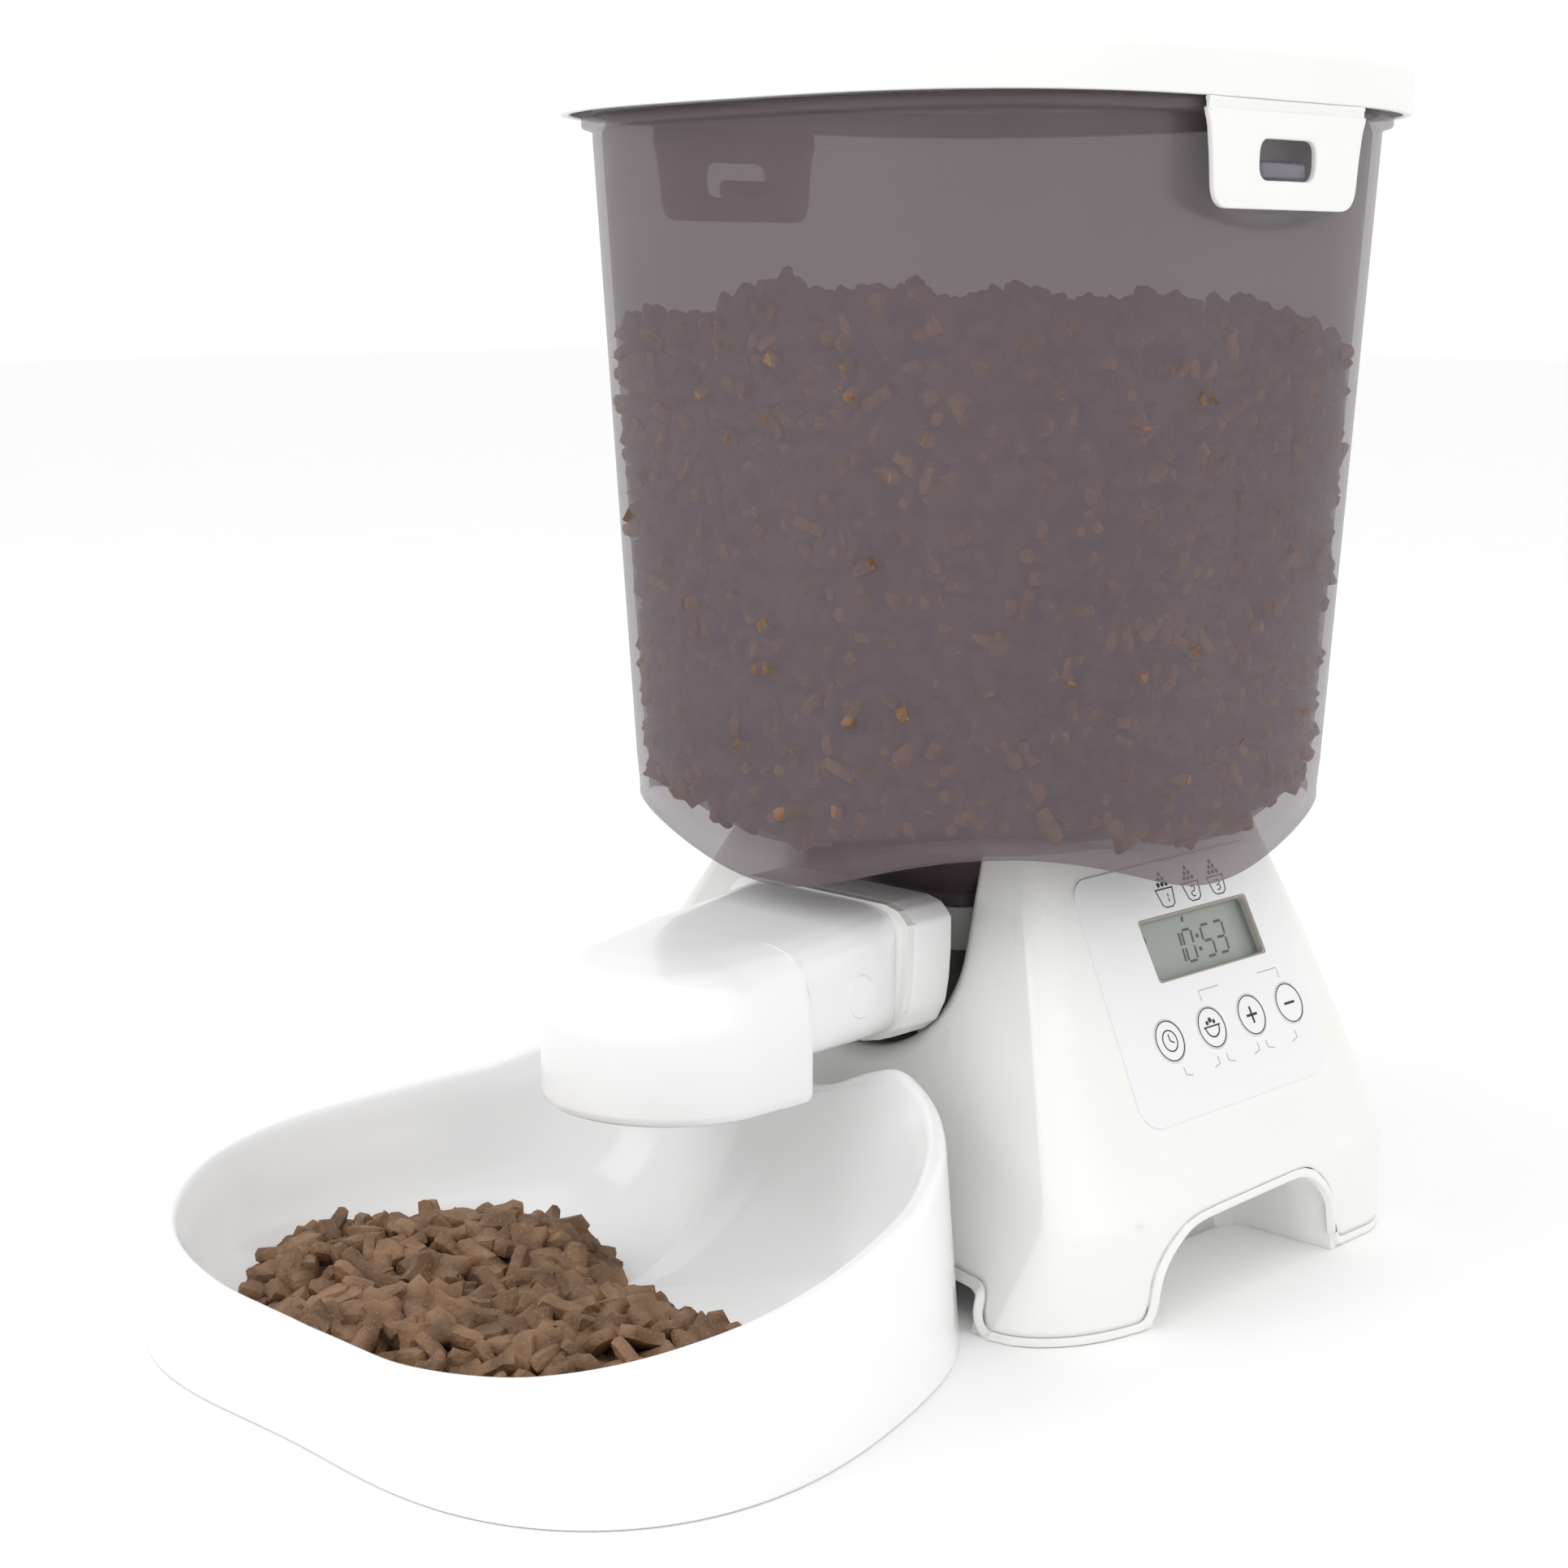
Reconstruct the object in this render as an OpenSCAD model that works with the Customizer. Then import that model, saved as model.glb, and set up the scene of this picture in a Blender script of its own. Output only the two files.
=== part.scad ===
// Automatic dry-food pet feeder: lidded hopper on a stand, auger feed, nozzle and clip-on bowl.
// Millimetres, +Z up, bowl towards -Y, control panel on +X. Origin: centre of the footprint box.

/* [Overall] */
// top of the lid above the floor
lid_top = 374; // [364:0.5:390]
// width of the lid across X
lid_width = 230; // [224:1:240]
// depth of the lid along Y
lid_depth = 240; // [234:1:250]
// hopper axis to the bowl's front edge
bowl_reach = 280; // [270:1:300]
// wall thickness of the moulded shells
wall = 2.6; // [2:0.1:3.2]

/* [Hopper] */
// lower edge of the lid and top of the hopper rim
rim_z = 355.3; // [340:0.5:357]
// half width of the hopper at its top
hopper_top_x = 108.5; // [104:0.5:109.5]
// half depth of the hopper at its top
hopper_top_y = 109.3; // [104:0.5:112]
// half width of the hopper at its lower edge
hopper_low_x = 97; // [92:0.5:100]
// height where the hopper rests on the stand
seat_z = 136; // [134:0.5:138]
// squareness of the hopper and lid outline
squareness = 3.2; // [2.6:0.1:4]

/* [Stand] */
// half width of the stand at the floor
stand_half = 116; // [114:0.5:119]
// slope of the control panel from vertical, degrees
panel_tilt = 27.4; // [26.6:0.2:28.2]
// radius of the cradle cut in the stand's front wall
cradle_r = 40; // [39.5:0.5:43]
// height of the bead along the base cover's lower edge
bead = 3; // [2:0.25:4]

/* [Controls] */
// radius of a push button
button_r = 6.7; // [5.5:0.1:7.2]
// clearance around each button
button_gap = 0.35; // [0.2:0.05:0.6]

/* [Feed] */
// height of the auger axis
auger_z = 93.5; // [93:0.25:94]
// outer radius of the auger flight
auger_r = 13.3; // [11:0.1:13.6]
// inner radius of the feed tube
tube_r = 14.1; // [13.8:0.1:14.3]
// radial running clearance of the turning shafts
run_gap = 0.05; // [0.02:0.01:0.1]
// gear module
gear_m = 0.8; // [0.7:0.02:0.82]

/* [Bowl] */
// height of the bowl's rim at the front
bowl_front_z = 30; // [26:0.5:40]
// height of the bowl's rim at its rear peaks
bowl_rear_z = 73; // [66:0.5:74]

/* [Hidden] */
y_shift = (bowl_reach - lid_depth / 2) / 2;
$fn = 48;
ring_n = 64;
pt = panel_tilt;
panel_x = 105.1;
panel_z = 53.7;
button_h = [-17.8, 3.8, 24.8, 45.4];
button_v = 25.4;
gear_d = gear_m * 32;
c_out = [0, auger_z];
c_two = c_out - [0, gear_d];
c_one = c_two + gear_d * [cos(-30), sin(-30)];
c_mot = c_one + [gear_d, 0];
layer = [21.5, 27.5, 33.5];
face_w = 5;
cell_r = 13.1;
cell_len = 50;
cell_z = 17;
cell_y = [-28.5, -1.5];
tray_top = 34;
stand_base = bead + 0.5;
bowl_c = -bowl_reach + max([for (p = [0 : 5 : 60]) bowl_r(p) * cos(p)]);
white = [0.95, 0.955, 0.94];
smoke = [0.45, 0.41, 0.43, 0.75];

// Solid between stacked rings of points; ring = true joins the last ring back to the first.
module loft(rings, ring = false) {
  n = len(rings[0]);
  m = len(rings);
  last = ring ? m - 1 : m - 2;
  side = [for (j = [0 : last]) for (i = [0 : n - 1])
    let (a = j * n + i, b = j * n + (i + 1) % n, k = ((j + 1) % m) * n)
    each [[a, k + i, k + (i + 1) % n], [a, k + (i + 1) % n, b]]];
  low = [for (i = [0 : n - 1]) [m * n, i, (i + 1) % n]];
  high = [for (i = [0 : n - 1]) [m * n + 1, (m - 1) * n + (i + 1) % n, (m - 1) * n + i]];
  ends = ring ? [] : [middle(rings[0]), middle(rings[m - 1])];
  polyhedron(concat([for (r = rings) each r], ends), ring ? side : concat(side, low, high), 4);
}

function middle(r) = [for (k = [0 : 2]) [for (p = r) p[k]] * [for (p = r) 1] / len(r)];

function mix(a, b, t) = a + (b - a) * max(0, min(1, t));

// Height-dependent value read from a list of [z, value] pairs.
function at(table, z) = let (i = max([for (k = [0 : len(table) - 2]) table[k][0] <= z ? k : 0]))
  mix(table[i][1], table[i + 1][1], (z - table[i][0]) / (table[i + 1][0] - table[i][0]));

// Superellipse ring of half axes a and b at height z, lowered by wave at the middles of its sides.
function oval(a, b, z, n = squareness, cy = 0, wave = 0) = [for (i = [0 : ring_n - 1])
  let (t = 360 * i / ring_n,
    r = pow(pow(abs(cos(t)) / a, n) + pow(abs(sin(t)) / b, n), -1 / n))
  [r * cos(t), cy + r * sin(t), z - wave * cos(4 * t)]];

// Rectangle w by h about the origin with corner radius r, as points.
function rounded(w, h, r, k = 6) = [for (c = [[1, 1, 0], [-1, 1, 90], [-1, -1, 180], [1, -1, 270]])
  for (i = [0 : k]) [c[0] * (w / 2 - r), c[1] * (h / 2 - r)] + r * [cos(c[2] + 90 * i / k),
    sin(c[2] + 90 * i / k)]];

module place() translate([0, y_shift, 0]) children();

// Local X along the panel, Y up its slope and Z out of it.
module on_panel() multmatrix([[0, -sin(pt), cos(pt), panel_x], [1, 0, 0, 0],
  [0, cos(pt), sin(pt), panel_z], [0, 0, 0, 1]]) children();

// Extrusion of an X-Z outline from y0 back to y1.
module slab(y0, y1) translate([0, y1, 0]) rotate([90, 0, 0]) linear_extrude(y1 - y0) children();

module rod(c, r, y0, y1, fn = 48) translate([c[0], y0, c[1]]) rotate([-90, 0, 0])
  cylinder(r = r, h = y1 - y0, $fn = fn);

// ---------- lid and latches ----------

function lid_ring(t, z) = oval(lid_width / 2 - t, lid_depth / 2 - t, z);

module lid() {
  top = lid_top - wall;
  color(white) place() loft([lid_ring(0, rim_z), lid_ring(0, lid_top - 7.5),
    lid_ring(1.2, lid_top - 4.5), lid_ring(4.5, lid_top - 2.4), lid_ring(14, lid_top - 1.2),
    lid_ring(50, lid_top - 0.2), lid_ring(100, lid_top), lid_ring(100, top),
    lid_ring(50, top - 0.2), lid_ring(14, top - 1.2), lid_ring(11, top - 1.6),
    lid_ring(11, top - 8), lid_ring(9, top - 8), lid_ring(9, top - 1.9),
    lid_ring(4.6, top - 2.4), lid_ring(wall, lid_top - 8), lid_ring(wall, rim_z)], true);
}

module lid_seal() color([0.7, 0.7, 0.7]) place() loft([lid_ring(8.8, rim_z),
  lid_ring(8.8, lid_top - wall - 8), lid_ring(11.2, lid_top - wall - 8), lid_ring(11.2, rim_z)],
  true);

latch_pin = [113.6, rim_z - 0.8];
// Half width of a latch tab at depths below the rim: flared top, rounded lower corners.
latch_half = [[40, 3], [38.4, 6.5], [37.2, 11], [36.2, 17], [35.2, 22.5], [34, 26], [32, 28.6],
  [29.4, 30.1], [26, 30.6]];

// Flexing line: a round bead just under the lid's edge, on a thin web.
bead_r = 0.75;
web_t = 1;

module latch() place() resize([0, 0, 0]) union() {
  slab(-38.5, 38.5) translate(latch_pin) {
    circle(bead_r);
    translate([-web_t / 2, -3.4]) square([web_t, 3.4]);
  }
  rotate([90, 0, 90]) translate([0, rim_z, latch_pin[0] - 1.1]) linear_extrude(2.2) difference() {
    polygon(concat([for (p = latch_half) [-p[0], -p[1]]],
      [for (i = [len(latch_half) - 1 : -1 : 0]) [latch_half[i][0], -latch_half[i][1]]]));
    translate([0, -16.7]) polygon(rounded(28, 11.6, 4.5));
  }
}

module latch_right() color(white) latch();

module latch_left() color(white) mirror([1, 0, 0]) latch();

// ---------- hopper ----------

function hop_x(z) = mix(hopper_low_x, hopper_top_x, (z - 139) / (350 - 139));

function hop_y(z) = mix(hopper_low_x + 1, hopper_top_y, (z - 139) / (350 - 139));

function hop_ring(t, z, wave = 0) = oval(hop_x(z) - t, hop_y(z) - t, z, wave = wave);

module hopper() {
  color(smoke) place() resize([0, 0, 0]) union() {
    loft([hop_ring(0, 131.5, 8), hop_ring(0, 148), hop_ring(0, 250), hop_ring(0, rim_z - 4.5),
      oval(hopper_top_x + 2.8, hopper_top_y + 3.2, rim_z - 3.6),
      oval(hopper_top_x + 2.8, hopper_top_y + 3.2, rim_z),
      oval(hopper_top_x - 5, hopper_top_y - 4, rim_z),
      hop_ring(wall, rim_z - 5), hop_ring(wall, 250), hop_ring(wall, 152, 3),
      hop_ring(wall + 3, 142, 6), oval(78, 78, seat_z + wall, 3), oval(56, 52, seat_z + wall, 3, 6),
      oval(50.5, 46.5, seat_z - 2, 3, 5), oval(26, 25, 115, 5, -12), oval(26, 25, 110, 5, -12),
      oval(28, 27, 110, 5, -12), oval(28, 27, 113.4, 5, -12), oval(51.5, 47.5, seat_z - 5, 3, 5),
      oval(54, 50, seat_z, 3, 6), oval(78, 78, seat_z, 3), hop_ring(wall + 3, 139, 6),
      hop_ring(wall, 137, 7), hop_ring(wall, 131.5, 8)], true);
    for (s = [-1, 1]) translate([s * (hop_x(rim_z - 20) + 1.4), 1.5, rim_z - 19.7])
      cube([6, 23, 6], center = true);
  }
}

// ---------- stand ----------

function flank_x(z) = z >= 33 ? panel_x + (panel_z - z) * tan(pt)
  : mix(panel_x + (panel_z - 33) * tan(pt), stand_half, pow((33 - z) / 19, 0.7));

ridge_y = [[0, -95], [92, -64], [136, -46]];
rear_y = [[0, 84], [60, 80], [92, 76], [120, 71], [136, 68]];
rear_r = [[0, 24], [60, 16], [92, 12], [136, 9]];
dish = [[0, 15], [92, 14], [136, 6]];
ridge_w = [[0, 28], [40, 15], [92, 9], [136, 7]];
ridge_d = [[0, 46], [40, 22], [92, 12], [136, 9]];

// Closed outline of the stand at height z, set in by t; the front wall is dished between its ridges.
function stand_ring(z, t = 0) = let (x = flank_x(z) - t, yf = at(ridge_y, z) + t,
  yb = at(rear_y, z) - t, rx = at(ridge_w, z), ry = at(ridge_d, z), xr = x - rx, rb = at(rear_r, z),
  half = concat([for (i = [0 : 6]) [xr * i / 6, yf + at(dish, z) * (1 - pow(i / 6, 2)), z]],
    [for (a = [15 : 15 : 90]) [xr + rx * sin(a), yf + ry * (1 - cos(a)), z]],
    [for (i = [1 : 5]) [x, mix(yf + ry, yb - rb, i / 5), z]],
    [for (a = [18 : 18 : 90]) [x - rb * (1 - cos(a)), yb - rb * (1 - sin(a)), z]],
    [for (i = [1 : 3]) [(x - rb) * (1 - i / 3), yb, z]]))
  concat(half, [for (i = [len(half) - 2 : -1 : 1]) [-half[i][0], half[i][1], half[i][2]]]);

stand_levels = [14, 23, 33, 48, 64, 80, 92, 106, 120];

module stand_solid(t = 0, z0 = stand_base, z1 = seat_z) loft([stand_ring(z0, t),
  for (z = stand_levels) stand_ring(z, t), stand_ring(z1, t)]);

// Side profile of the finger pocket in Y-Z, grown by g.
function pocket(g) = [[-52.3 - g, -1], [-51.6 - g, 11], [-49 - g * 0.9, 17 + g * 0.4],
  [-43.5 - g * 0.7, 22 + g * 0.7], [-36.5 - g * 0.4, 26 + g * 0.9], [-29.5, 27.4 + g],
  [-21, 27.8 + g], [20, 28.9 + g], [25, 28.5 + g], [29.6 + g * 0.5, 26.6 + g * 0.9],
  [34.8 + g * 0.8, 22.3 + g * 0.6], [37.8 + g, 18.3 + g * 0.3], [39 + g, 13], [41 + g, -1]];

module pocket_cut(g, x0) for (s = [0, 1]) mirror([s, 0, 0]) translate([x0, 0, 0])
  rotate([90, 0, 90]) linear_extrude(60) polygon(pocket(g));

// Round-cornered opening in the stand's front edge that lets the bowl's tongue in.
module front_notch(y, x, z) slab(-110, y) polygon(rounded(2 * x, 2 * z, 6));

module cradle() slab(-100, 0) union() {
  translate([0, 102.5]) circle(r = cradle_r, $fn = 64);
  translate([-cradle_r, 102.5]) square([2 * cradle_r, 60]);
}

module stand_shell() color(white) place() resize([0, 0, 0]) difference() {
  loft([stand_ring(stand_base), for (z = stand_levels) stand_ring(z), stand_ring(seat_z),
    stand_ring(seat_z, wall), for (i = [len(stand_levels) - 1 : -1 : 0])
    stand_ring(stand_levels[i], wall), stand_ring(stand_base, wall)], true);
  cradle();
  pocket_cut(0.35 + wall, 70);
  front_notch(-60, 82.85, 13.85);
  on_panel() {
    translate([15.65, 53.1, -5]) linear_extrude(10) polygon(rounded(59.4, 23.4, 2));
    for (h = button_h) translate([h, button_v, -5]) cylinder(r = button_r + button_gap, h = 10);
  }
}

// Floor plate with its edge bead, the two finger pockets, the battery tray and screw holes.
module base_cover() color(white) place() resize([0, 0, 0]) difference() {
  union() {
    loft([stand_ring(0, 0.8), stand_ring(0.8), stand_ring(bead), stand_ring(bead, 0.9),
      stand_ring(stand_base, 0.9), stand_ring(stand_base, wall + 0.3),
      stand_ring(stand_base + 2, wall + 0.3)]);
    intersection() {
      stand_solid(0, 0.1);
      union() {
        pocket_cut(wall, 74);
        front_notch(-62.5, 82.5, 13.5);
      }
    }
    translate([-56, -44.5, 1]) cube([112, 59, tray_top - 1]);
  }
  pocket_cut(0, 76.5);
  front_notch(-64.5, 79.5, 10.5);
  translate([-54, -42.5, -1]) cube([108, 55, tray_top - 1]);
  for (p = screw_at) translate([p[0], p[1], -1]) {
    cylinder(r = 3.4, h = 3.2, $fn = 24);
    cylinder(r = 1.75, h = 20, $fn = 24);
  }
}

screw_at = [[66, -40], [-66, -40], [62, 62], [-62, 62]];

module screw(i) color([0.6, 0.6, 0.62]) place() translate([screw_at[i][0], screw_at[i][1], 2.2])
  rotate_extrude($fn = 24) polygon([[0, 0], [0, 10], [1, 9], [1.6, 8], [1.6, 0.001], [3, 0],
    [3, -1.4], [2, -1.4], [1.4, -0.7], [0, -0.7]]);

module screw_1() screw(0);
module screw_2() screw(1);
module screw_3() screw(2);
module screw_4() screw(3);

// ---------- batteries ----------

module battery_door() color(white) place() translate([0, -15, 0]) {
  translate([-53.7, -27.2, 0.6]) cube([107.4, 54.4, 2]);
  for (x = [-40, -13, 13, 40]) translate([x - 0.8, -26, 2.6]) cube([1.6, 52, 1.3]);
}

module cell(i) {
  x0 = i < 2 ? -cell_len : 0;
  y = cell_y[i % 2];
  color([0.15, 0.25, 0.45]) place() translate([x0, y, cell_z]) rotate([0, 90, 0])
    rotate_extrude() polygon([[0, 0], [cell_r - 0.6, 0], [cell_r, 0.6], [cell_r, cell_len - 2.1],
      [cell_r - 0.6, cell_len - 1.5], [3.8, cell_len - 1.5], [3.8, cell_len], [0, cell_len]]);
}

module cell_1() cell(0);
module cell_2() cell(1);
module cell_3() cell(2);
module cell_4() cell(3);

// Sprung steel strip at one end of the tray.
module contact(s) color([0.75, 0.75, 0.72]) place() mirror([s, 0, 0]) {
  translate([53.5, -41, 6]) cube([0.5, 52, 22]);
  for (y = cell_y) translate([cell_len, y, cell_z]) rotate([0, 90, 0]) {
    cylinder(r1 = 3.4, r2 = 5, h = 1.8, $fn = 32);
    translate([0, 0, 1.8]) cylinder(r = 6.5, h = 1.7, $fn = 32);
  }
}

module contact_right() contact(0);
module contact_left() contact(1);

// ---------- control panel ----------

label_t = 0.5;
label_outline = [[-42.9, 1.3], [53.2, 1.3], [59.5, 46], [59.6, 80], [-36.8, 80]];

module label() color([0.9, 0.9, 0.92]) place() on_panel() difference() {
  linear_extrude(label_t) offset(r = 8) offset(delta = -8) polygon(label_outline);
  translate([15.65, 53.1, -1]) linear_extrude(3) polygon(rounded(56.4, 20.4, 1.2));
  for (h = button_h) translate([h, button_v, -1]) cylinder(r = button_r + button_gap, h = 3);
}

// Flanged clear window pressed into the panel from inside.
module lcd_window() color([0.7, 0.72, 0.7, 0.35]) place() on_panel()
  translate([15.65, 53.1, 0]) union() {
    translate([0, 0, -wall - 1.5]) linear_extrude(1.5) polygon(rounded(64, 28, 2));
    translate([0, 0, -wall]) linear_extrude(wall - 0.9) polygon(rounded(59, 23, 1.8));
  }

module lcd_module() color([0.62, 0.66, 0.6]) place() on_panel()
  translate([15.65, 53.1, -wall - 4.5]) linear_extrude(2.95) polygon(rounded(62, 27, 1));

module circuit_board() color([0.1, 0.35, 0.2]) place() on_panel()
  translate([13.8, 40, -wall - 6.1]) linear_extrude(1.6) polygon(rounded(84, 54, 2));

module tact_switches() color([0.2, 0.2, 0.2]) place() on_panel() for (h = button_h)
  translate([h, button_v, -wall - 4.5]) {
    translate([-3, -3, 0]) cube([6, 6, 1.6]);
    translate([0, 0, 1.6]) cylinder(r = 1.7, h = 0.5, $fn = 24);
  }

module button(i) color([0.92, 0.92, 0.94]) place() on_panel()
  translate([button_h[i], button_v, 0]) rotate_extrude() polygon([[0, label_t + 0.2],
    [button_r - 0.4, label_t + 0.2], [button_r, label_t - 0.2], [button_r, -wall],
    [button_r + 1.1, -wall], [button_r + 1.1, -wall - 0.8], [1.4, -wall - 0.8],
    [1.4, -wall - 1.3], [0, -wall - 1.3]]);

module button_1() button(0);
module button_2() button(1);
module button_3() button(2);
module button_4() button(3);

// ---------- feed mechanism ----------

collar = [[-38.4, 113], [-34.5, 116.8], [-29, 118.2], [29, 118.2], [34.5, 116.8], [38.4, 113],
  [38.4, 103], [37.8, 94], [36.4, 86], [33, 79.6], [27.6, 75.4], [20, 73.6], [-20, 73.6],
  [-27.6, 75.4], [-33, 79.6], [-36.4, 86], [-37.8, 94], [-38.4, 103]];

module feed_housing() color(white) place() difference() {
  union() {
    rod(c_out, tube_r + 1.4, -100, 18.5);
    slab(-76, -57) polygon(collar);
    translate([0, 0, 96]) linear_extrude(13.7) polygon(spout(28, 27));
    translate([0, 0, 96]) linear_extrude(17) polygon(spout(25.4, 24.4));
    for (s = [-1, 1]) translate([s * 12 - 1.5, -40, tray_top]) cube([3, 54, 54]);
  }
  rod(c_out, tube_r, -101, 14.5);
  rod(c_out, 4 + run_gap, 0, 20);
  difference() {
    slab(-73, -50) offset_collar();
    rod(c_out, tube_r + 1.4, -80, 0);
  }
  translate([0, 0, 103]) linear_extrude(20) polygon(spout(23.4, 22.4));
  translate([-12, -33, auger_z]) cube([24, 42, 20]);
}

// Outline of the hopper's outlet with half axes a and b.
function spout(a, b) = [for (p = oval(a, b, 0, 5, -12)) [p[0], p[1]]];

module offset_collar() translate([0, 97.5]) scale([0.93, 0.89]) translate([0, -97.5])
  polygon(collar);

// One-start helical flight on a core, 4 turns.
module auger() color([0.85, 0.86, 0.86]) place() translate([0, 13.5, auger_z]) rotate([90, 0, 0])
  linear_extrude(112.5, twist = -4 * 360, slices = 64) polygon(concat(
    [for (i = [0 : 2]) auger_r * [cos(i * 14 - 14), sin(i * 14 - 14)]],
    [for (i = [1 : 8]) 4 * [cos(i * 40), sin(i * 40)]]));

module drive_shaft() color([0.8, 0.8, 0.8]) place() union() {
  rod(c_out, 4, 13.5, layer[2]);
  rod(c_out, 3, layer[2], 42);
}

// Involute spur gear outline: z teeth, a tooth centred at angle a.
function inv(r, rb) = let (p = acos(min(1, rb / r))) tan(p) * 180 / PI - p;

function gear_points(z, a) = let (r = gear_m * z / 2, rb = r * cos(20), ra = r + 0.92 * gear_m,
  rf = r - 1.2 * gear_m, s = 90 / z - 0.12 / r * 180 / PI + inv(r, rb),
  flank = [rf, max(rb, rf + 0.05), r - 0.35 * gear_m, r + 0.3 * gear_m, ra])
  [for (i = [0 : z - 1]) let (c = a + 360 * i / z) each concat(
    [for (q = flank) let (w = s - inv(max(q, rb), rb)) q * [cos(c - w), sin(c - w)]],
    [for (k = [4 : -1 : 0]) let (q = flank[k], w = s - inv(max(q, rb), rb))
      q * [cos(c + w), sin(c + w)]])];

module gear(z, a, c, y) slab(y, y + face_w) translate(c) polygon(gear_points(z, a));

module output_gear() color([0.93, 0.92, 0.86]) place() difference() {
  gear(48, 273.75, c_out, layer[2]);
  rod(c_out, 3, 0, 60);
}

module compound(c, big, a, y1, small, b, y2) color([0.93, 0.92, 0.86]) place() difference() {
  union() {
    gear(big, a, c, y1);
    gear(small, b, c, y2);
    rod(c, 5, y1 + face_w - 0.01, y2 + 0.01);
  }
  rod(c, 1.5 + run_gap, 0, 60);
}

module compound_gear_1() compound(c_one, 48, 3.75, layer[0], 16, 150, layer[1]);
module compound_gear_2() compound(c_two, 48, 333.75, layer[1], 16, 90, layer[2]);
module gear_pin_1() color([0.8, 0.8, 0.82]) place() rod(c_one, 1.5, 18.5, 42);
module gear_pin_2() color([0.8, 0.8, 0.82]) place() rod(c_two, 1.5, 18.5, 42);

pillar_at = [[-25, 50], [-25, 92], [62, 76], [25, 92]];

module gearbox_front() color([0.9, 0.9, 0.88]) place() difference() {
  union() {
    slab(18.5, 20.5) polygon([[-30, 44], [-30, 98], [30, 98], [66, 82], [66, 38], [8, 36]]);
    for (p = pillar_at) rod(p, 3, 20.5, 40, 24);
  }
  rod(c_out, 4 + run_gap, 10, 30);
  rod(c_one, 1.5, 10, 30);
  rod(c_two, 1.5, 10, 30);
  rod(c_mot, 3, 10, 30);
}

module gearbox_rear() color([0.9, 0.9, 0.88]) place() difference() {
  slab(40, 42) polygon([[-30, 44], [-30, 98], [-14, 114], [14, 114], [30, 98], [66, 82], [66, 38],
    [8, 36]]);
  rod(c_out, 3 + run_gap, 30, 50);
  rod(c_one, 1.5, 30, 50);
  rod(c_two, 1.5, 30, 50);
}

module motor() color([0.7, 0.7, 0.7]) place() difference() {
  union() {
    rod(c_mot, 12, -14, 18.5);
    rod(c_mot, 4, -16.5, -14, 24);
  }
  rod(c_mot, 1 + run_gap, -10, 20, 24);
}

module motor_pinion() color([0.85, 0.75, 0.4]) place() union() {
  gear(16, 180, c_mot, layer[0]);
  rod(c_mot, 1, -9, layer[0] + face_w, 24);
}

// ---------- nozzle ----------

// D-shaped plan of the hood at height z, set in by t and at its back by b. Above 92 mm the plan
// tilts up towards the neck.
function hood_ring(z, t, b = 0) = [for (p = concat([[0, -117 - b], [-(38.6 - t * 0.6) * 0.7, -117 - b],
  [-(38.6 - t * 0.6), -117.6 - b]], [for (a = [0 : 10 : 180]) [(t - 38.6) * cos(a),
  -138 - (39 - t) * sin(a)]], [[38.6 - t * 0.6, -117.6 - b], [(38.6 - t * 0.6) * 0.7, -117 - b]]))
  [p[0], p[1], z + max(0, z - 92) * (p[1] + 150) / 240]];

// Section of the neck at depth y: half width w, floor z0, roof z1 at its edges rising by c in the
// middle, and corner radius r.
function neck_ring(y, w, z0, z1, r, c) = let (half = concat([[0, z0]],
    [for (a = [-90 : 22.5 : 0]) [w - r + r * cos(a), z0 + r + r * sin(a)]],
    [for (a = [0 : 22.5 : 90]) [w - r + r * cos(a), z1 - r + r * sin(a)]],
    [[(w - r) * 0.6, z1 + c * 0.64], [(w - r) * 0.3, z1 + c * 0.91], [0, z1 + c]]))
  [for (p = concat(half, [for (i = [len(half) - 2 : -1 : 1]) [-half[i][0], half[i][1]]]))
    [p[0], y, p[1]]];

module hood(t, b = 0) loft([hood_ring(67.4 - t / 9, t, b), hood_ring(92, t, b),
  hood_ring(97, t + 1.2, b), hood_ring(102, t + 4, b), hood_ring(106 - t / 2, t + 8, b),
  hood_ring(109 - t * 0.8, t + 14, b), hood_ring(110.2 - t, t + 24, b)]);

module neck(t, e = 0) loft([neck_ring(-76 + e, 34 - t, 75 + t, 114 - t, 7 - t / 2, 3.4),
  neck_ring(-98, 34.5 - t, 75 + t, 112.4 - t, 7.5 - t / 2, 2.5),
  neck_ring(-119 - e, 34.9 - t, 75 + t, 110.6 - t, 8 - t / 2, 1.8)]);

module nozzle() color([0.97, 0.97, 0.97]) place() resize([0, 0, 0]) difference() {
  union() {
    hood(0);
    neck(0);
  }
  hood(wall, wall);
  neck(wall, 1);
  snap_place() cylinder(r = 6.9, h = 100, center = true);
}

// Centre of the oval spring catches, with Z across the neck.
module snap_place() translate([0, -92.5, auger_z]) scale([1, 0.84, 1.04]) rotate([0, 90, 0])
  children();

// Spring catch in the neck's side, pressed in to free the nozzle.
module snap_button(s) color([0.97, 0.97, 0.97]) place() mirror([s, 0, 0]) snap_place()
  rotate_extrude() polygon([[0, 29.4], [9, 29.4], [9, 30.8], [6.6, 30.8], [6.6, 34.5], [6, 35.1],
    [0, 35.1]]);

module snap_button_right() snap_button(0);
module snap_button_left() snap_button(1);

// ---------- bowl ----------

// Distance of the bowl's foot from its centre, in the direction p measured from the front.
function bowl_r(p) = 113 + 15.6 * cos(p) - 6.4 * cos(2 * p) - 4.5 * cos(3 * p) - 6.2 * cos(4 * p);

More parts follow.
